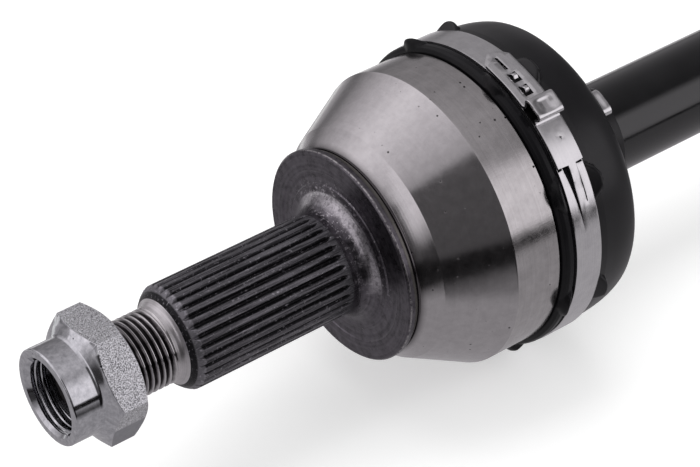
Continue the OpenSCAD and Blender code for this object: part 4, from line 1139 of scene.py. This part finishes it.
# Gearbox end boot: folds that follow one rule, made by Geometry Nodes
def bellows_tree():
    tree = bpy.data.node_groups.new("bellows", "GeometryNodeTree")
    face = tree.interface
    for name, kind in (("Start", "NodeSocketFloat"), ("Length", "NodeSocketFloat"), ("Folds", "NodeSocketFloat"),
                       ("Depth", "NodeSocketFloat"), ("Small Radius", "NodeSocketFloat"),
                       ("Large Radius", "NodeSocketFloat"), ("Wall", "NodeSocketFloat"), ("From", "NodeSocketFloat"),
                       ("To", "NodeSocketFloat"), ("Rows", "NodeSocketInt"), ("Columns", "NodeSocketInt"),
                       ("Finish", "NodeSocketMaterial")):
        face.new_socket(name, in_out="INPUT", socket_type=kind)
    face.new_socket("Geometry", in_out="OUTPUT", socket_type="NodeSocketGeometry")
    given = add(tree, "NodeGroupInput").outputs

    grid = add(tree, "GeometryNodeMeshGrid", {"Size X": 1.0, "Size Y": 1.0, "Vertices X": given["Rows"],
                                              "Vertices Y": given["Columns"]})
    place = add(tree, "ShaderNodeSeparateXYZ", {0: add(tree, "GeometryNodeInputPosition").outputs[0]})
    known = {item.name: given[item.name] for item in face.items_tree if item.in_out == "INPUT"}
    known.update(X=place.outputs["X"], Y=place.outputs["Y"])
    # each step: its name, what it does, and the numbers or earlier steps that it takes
    for name, operation, *values in (
            ("along", "ADD", "X", 0.5), ("around", "ADD", "Y", 0.5), ("turn", "MULTIPLY", "around", 2 * math.pi),
            ("outside", "LESS_THAN", "along", 0.5), ("twice", "MULTIPLY", "along", 2.0),
            ("there", "PINGPONG", "twice", 1.0), ("span", "SUBTRACT", "To", "From"),
            ("share", "MULTIPLY_ADD", "there", "span", "From"), ("fade", "MULTIPLY_ADD", "share", -0.35, 1.0),
            ("folded", "MULTIPLY", "share", "Folds"), ("phase", "MULTIPLY", "folded", 2 * math.pi),
            ("wave", "COSINE", "phase"), ("half", "MULTIPLY", "Depth", 0.5), ("full", "MULTIPLY", "half", "wave"),
            ("swing", "MULTIPLY", "full", "fade"), ("widening", "SUBTRACT", "Large Radius", "Small Radius"),
            ("rise", "MULTIPLY_ADD", "share", "widening", "Small Radius"), ("most", "MULTIPLY", "half", 0.65),
            ("lift", "MULTIPLY", "most", "share"), ("swung", "SUBTRACT", "rise", "swing"),
            ("middle", "ADD", "swung", "lift"), ("which", "SUBTRACT", "outside", 0.5),
            ("side", "MULTIPLY", "which", "Wall"), ("radius", "ADD", "middle", "side"),
            ("cosine", "COSINE", "turn"), ("sine", "SINE", "turn"), ("x", "MULTIPLY_ADD", "share", "Length", "Start"),
            ("y", "MULTIPLY", "radius", "cosine"), ("z", "MULTIPLY", "radius", "sine")):
        inputs = {k: known.get(value, value) for k, value in enumerate(values)}
        known[name] = value_of(tree, MATH, inputs, operation=operation)
    target = add(tree, "ShaderNodeCombineXYZ", {"X": known["x"], "Y": known["y"], "Z": known["z"]})
    moved = add(tree, "GeometryNodeSetPosition", {"Geometry": grid.outputs["Mesh"], "Position": target.outputs[0]})
    merged = add(tree, "GeometryNodeMergeByDistance", {"Geometry": moved.outputs[0], "Distance": WELD})
    smooth = add(tree, "GeometryNodeSetShadeSmooth", {"Geometry": merged.outputs[0], "Shade Smooth": True})
    real = add(tree, "GeometryNodeRealizeInstances", {"Geometry": smooth.outputs[0]})
    finished = add(tree, "GeometryNodeSetMaterial", {"Geometry": real.outputs[0], "Material": given["Finish"]})
    add(tree, "NodeGroupOutput", {0: finished.outputs[0]})
    return tree


def from_tree(name, tree, values):
    """Runs a Geometry Nodes tree on an empty mesh and keeps the result as a plain mesh."""
    carrier = linked(name + "_carrier", bpy.data.meshes.new(name + "_carrier"))
    modifier = carrier.modifiers.new("tree", "NODES")
    modifier.node_group = tree
    for item in tree.interface.items_tree:
        if item.in_out == "INPUT" and item.name in values:
            modifier[item.identifier] = values[item.name]
    carrier.data.update()
    graph = bpy.context.evaluated_depsgraph_get()
    mesh = bpy.data.meshes.new_from_object(carrier.evaluated_get(graph))
    carrier.modifiers.remove(modifier)
    bpy.data.objects.remove(carrier)
    weld(mesh)
    return linked(name, mesh)


def box_boot_pieces():
    wall, depth, folds = 2.2, 7.0, 5
    start, length = HOUSING_X0 - 67.0, 65.0
    small = BAR_R + 0.05 + wall / 2 + depth / 2
    large = ADAPTER_R + 0.05 + wall / 2
    tree = bellows_tree()
    common = {"Start": (start + FLANGE_IN_FRAME) / 1000, "Length": length / 1000, "Folds": float(folds),
              "Depth": depth / 1000, "Small Radius": small / 1000, "Large Radius": large / 1000, "Wall": wall / 1000,
              "Columns": 241, "Finish": rubber}
    middle = 0.5
    near = from_tree("box_boot_near_folds", tree, {**common, "From": 0.0, "To": middle, "Rows": 129})
    far = from_tree("box_boot_far_folds", tree, {**common, "From": middle, "To": 1.0, "Rows": 129})
    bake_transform(near)
    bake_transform(far)
    put(near, None, "boot_rubber", "box_boot")
    put(far, None, "boot_rubber", "box_boot")
    small_r, x0 = BAR_R + 0.05, BOX_SMALL_X0
    neck = rounded([(x0 - 2, small_r, 0.1), (x0 - 2, small_r + wall, 0.5), (x0 - 0.1, small_r + wall, 0.1),
                    (x0 - 0.1, small_r + wall - 0.4, 0.1), (x0 + 7.1, small_r + wall - 0.4, 0.1),
                    (x0 + 7.1, small_r + wall, 0.1), (start + 1.2, small_r + wall, 0.4), (start + 1.2, small_r, 0.1)])
    put(lathe("box_boot_neck", neck, [rubber], loop=True, sharp=50), "shaft", "boot_rubber", "box_boot")
    r, h = ADAPTER_R + 0.05, HOUSING_X0
    mouth = rounded([(h - 3.4, r + 0.4, 0.3), (h - 3.4, r + wall, 0.5), (392.9, r + wall, 0.1),
                     (392.9, r + wall - 0.5, 0.1), (402.1, r + wall - 0.5, 0.1), (402.1, r + wall, 0.1),
                     (403.4, r + wall, 0.4), (403.4, r, 0.1), (h - 0.1, r, 0.1), (h - 0.1, r - 4, 0.2),
                     (h - 1.3, r - 4, 0.2), (h - 1.3, r + 0.4, 0.1)])
    put(lathe("box_boot_mouth", mouth, [rubber], loop=True, sharp=50), "housing", "boot_rubber", "box_boot")


box_boot_pieces()


# CAD solids whose shape stays, with their finishes
def dress(node, material):
    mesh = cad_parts[node].data
    mesh.materials.clear()
    mesh.materials.append(material)


for node, material in (("ball_cage", cage_phosphate), ("race_balls", ball_polish), ("inner_race", race_ground),
                       ("inner_race_circlip", spring_steel), ("tripod_spider", race_ground),
                       ("spider_circlips", spring_steel), ("roller_top", ball_polish), ("roller_left", ball_polish),
                       ("roller_right", ball_polish), ("needles_top", ball_polish), ("needles_left", ball_polish),
                       ("needles_right", ball_polish), ("trunnion_rings", spring_steel), ("boot_adapter", nylon),
                       ("stub_circlip", spring_steel)):
    dress(node, material)


# Studio: pale floor, soft lamps, white surroundings, and cloths that only reflections see
def lamp(name, place, target, width, height, watts):
    data = bpy.data.lights.new(name, "AREA")
    data.shape, data.size, data.size_y, data.energy = "RECTANGLE", width, height, watts
    made = linked(name, data)
    made.location = Vector(place)
    made.rotation_mode = "QUATERNION"
    made.rotation_quaternion = (Vector(target) - Vector(place)).to_track_quat("-Z", "Y")
    made.visible_camera = False
    return made


def flat_panel(name, corners, material):
    mesh = bpy.data.meshes.new(name)
    mesh.from_pydata(corners, [], [(0, 1, 2, 3)])
    mesh.materials.append(material)
    panel = linked(name, mesh)
    return panel


def floor_paper():
    material = bpy.data.materials.new("pale_floor_paper")
    material.use_nodes = True
    tree = material.node_tree
    tree.nodes.clear()
    rays = add(tree, "ShaderNodeLightPath")
    seen = rays.outputs["Is Camera Ray"]
    lit = value_of(tree, "ShaderNodeBsdfDiffuse", {"Color": (0.86, 0.86, 0.86, 1)})
    glow = value_of(tree, "ShaderNodeEmission", {"Color": (1, 1, 1, 1), "Strength": value_of(
        tree, MATH, {0: seen, 1: 0.42}, operation="MULTIPLY")})
    both = value_of(tree, "ShaderNodeAddShader", {0: lit, 1: glow})
    add(tree, "ShaderNodeOutputMaterial", {0: both})
    return material


def graded_silk():
    """Shows the metal the grey that the mesh carries, whatever light falls on it."""
    material = bpy.data.materials.new("graded_silk")
    material.use_nodes = True
    tree = material.node_tree
    tree.nodes.clear()
    grey = add(tree, "ShaderNodeAttribute", attribute_name="grey").outputs["Fac"]
    glow = value_of(tree, "ShaderNodeEmission", {"Color": (1.0, 0.965, 1.005, 1.0), "Strength": grey})
    add(tree, "ShaderNodeOutputMaterial", {0: glow})
    return material


def surroundings():
    world = bpy.data.worlds.new("studio")
    bpy.context.scene.world = world
    world.use_nodes = True
    tree = world.node_tree
    tree.nodes.clear()
    rays = add(tree, "ShaderNodeLightPath")
    seen = value_of(tree, MATH, {0: rays.outputs["Is Camera Ray"], 1: rays.outputs["Is Glossy Ray"]},
                    operation="MAXIMUM")
    seen = value_of(tree, MATH, {0: seen, 1: rays.outputs["Is Transmission Ray"]}, operation="MAXIMUM")
    soft = value_of(tree, "ShaderNodeBackground", {"Color": (1, 1, 1, 1), "Strength": 0.6})
    white = value_of(tree, "ShaderNodeBackground", {"Color": (1, 1, 1, 1), "Strength": 1.0})
    add(tree, "ShaderNodeOutputWorld", {0: value_of(tree, "ShaderNodeMixShader", {0: seen, 1: soft, 2: white})})


surroundings()
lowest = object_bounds()[0].z
floor = flat_panel("floor", [(-6, -6, lowest - 0.0003), (6, -6, lowest - 0.0003), (6, 6, lowest - 0.0003),
                             (-6, 6, lowest - 0.0003)], floor_paper())
middle = (-0.15, 0, 0)
lamp("overhead_softbox", (-0.1, 0.35, 1.3), middle, 1.4, 0.8, 7.5).visible_glossy = False
lamp("right_softbox", (0.75, -0.85, 0.95), middle, 0.5, 0.5, 3.0).visible_glossy = False


def only_reflected(name, verts, columns, greys):
    """A cloth that only reflections see: rows of points, with a grey for each point."""
    faces = [(k, k + 1, k + columns + 1, k + columns) for k in range(len(verts) - columns) if (k + 1) % columns]
    mesh = bpy.data.meshes.new(name)
    mesh.from_pydata(verts, [], faces)
    mesh.attributes.new("grey", "FLOAT", "POINT").data.foreach_set("value", greys)
    mesh.materials.append(silk)
    panel = linked(name, mesh)
    panel.visible_camera = panel.visible_diffuse = panel.visible_transmission = panel.visible_shadow = False
    return panel


def cloth(name, xs, ys, zs, grey):
    """A flat cloth on a grid of places in metres, with its grey as a rule of the place."""
    verts = [(x, y, z) for z in zs for y in ys for x in xs]
    only_reflected(name, verts, len(xs) if len(xs) > 1 else len(ys), [grey(*v) for v in verts])


def share(value, start, end):
    """0 up to start, 1 from end on, and even between the two."""
    return min(1.0, max(0.0, (value - start) / (end - start)))


def silk_tent(stops, stations, reach):
    """A curved silk about the shaft. Each set of stops gives angles about the shaft, from +Y to
    +Z, and greys that fade evenly from stop to stop. stations pairs a place with a set."""
    angles = sorted({*range(-12, 185, 4), *(a for one in stops.values() for a, _ in one)})
    verts = [(x, reach * math.cos(math.radians(a)), reach * math.sin(math.radians(a)))
             for a in angles for x, _ in stations]
    greys = [float(np.interp(a, *zip(*stops[side]))) for a in angles for _, side in stations]
    only_reflected("silk_tent", verts, len(stations), greys)


# Reflected surroundings, each a plain grey or an even fade. Towards the nut: a window above and
# behind, then a charcoal card. Amidships and towards the bar: grey silk, then a bright panel in
# front. Under them all: a black cloth low in front, grey paper, and a dark card past the nut
WHITE, PAPER, DARK, BLACK = 1.0, 0.4, 0.2, 0.01
silk = graded_silk()
silk_tent({"nut": ((-12, DARK), (50, 1.1), (110, 0.5), (112, 0.1), (175, 0.1), (177, BLACK)),
           "middle": ((-12, DARK), (50, PAPER), (90, 0.6), (120, 0.5), (140, WHITE), (175, WHITE), (177, BLACK)),
           "bar": ((-12, PAPER), (60, DARK), (120, 0.1), (135, WHITE), (175, WHITE), (184, 0.6))},
          ((-3.0, "nut"), (-0.15, "nut"), (0.3, "middle"), (0.76, "middle"), (0.95, "bar"), (3.0, "bar")), 1.6)
near_floor = lowest + 0.001
cloth("black_cloth", (-3.0, -0.27, -0.17, 3.0), (-1.7, -0.5, -0.36, -0.16, -0.1, 0.15), (near_floor,),
      lambda x, y, z: BLACK if y < -0.4 or (y < -0.12 and x < -0.2) else PAPER)
cloth("grey_cloth", (-3.0, 0.0, 3.0), (0.2, 0.42, 1.7), (near_floor,),
      lambda x, y, z: 0.5 if y < 0.4 or x < 0 else DARK)
cloth("far_cloth", (2.2,), (-1.6, 1.6), (near_floor, 1.6), lambda x, y, z: DARK)
cloth("end_cloth", (-1.6,), (-1.6, 0.0, 0.8, 1.6), (near_floor, 0.3, 0.9, 1.6),
      lambda x, y, z: 0.05 + 0.95 * max(share(z, 0.3, 0.9), share(y, 0.0, 0.8)))

bpy.context.scene.view_settings.view_transform = "Standard"
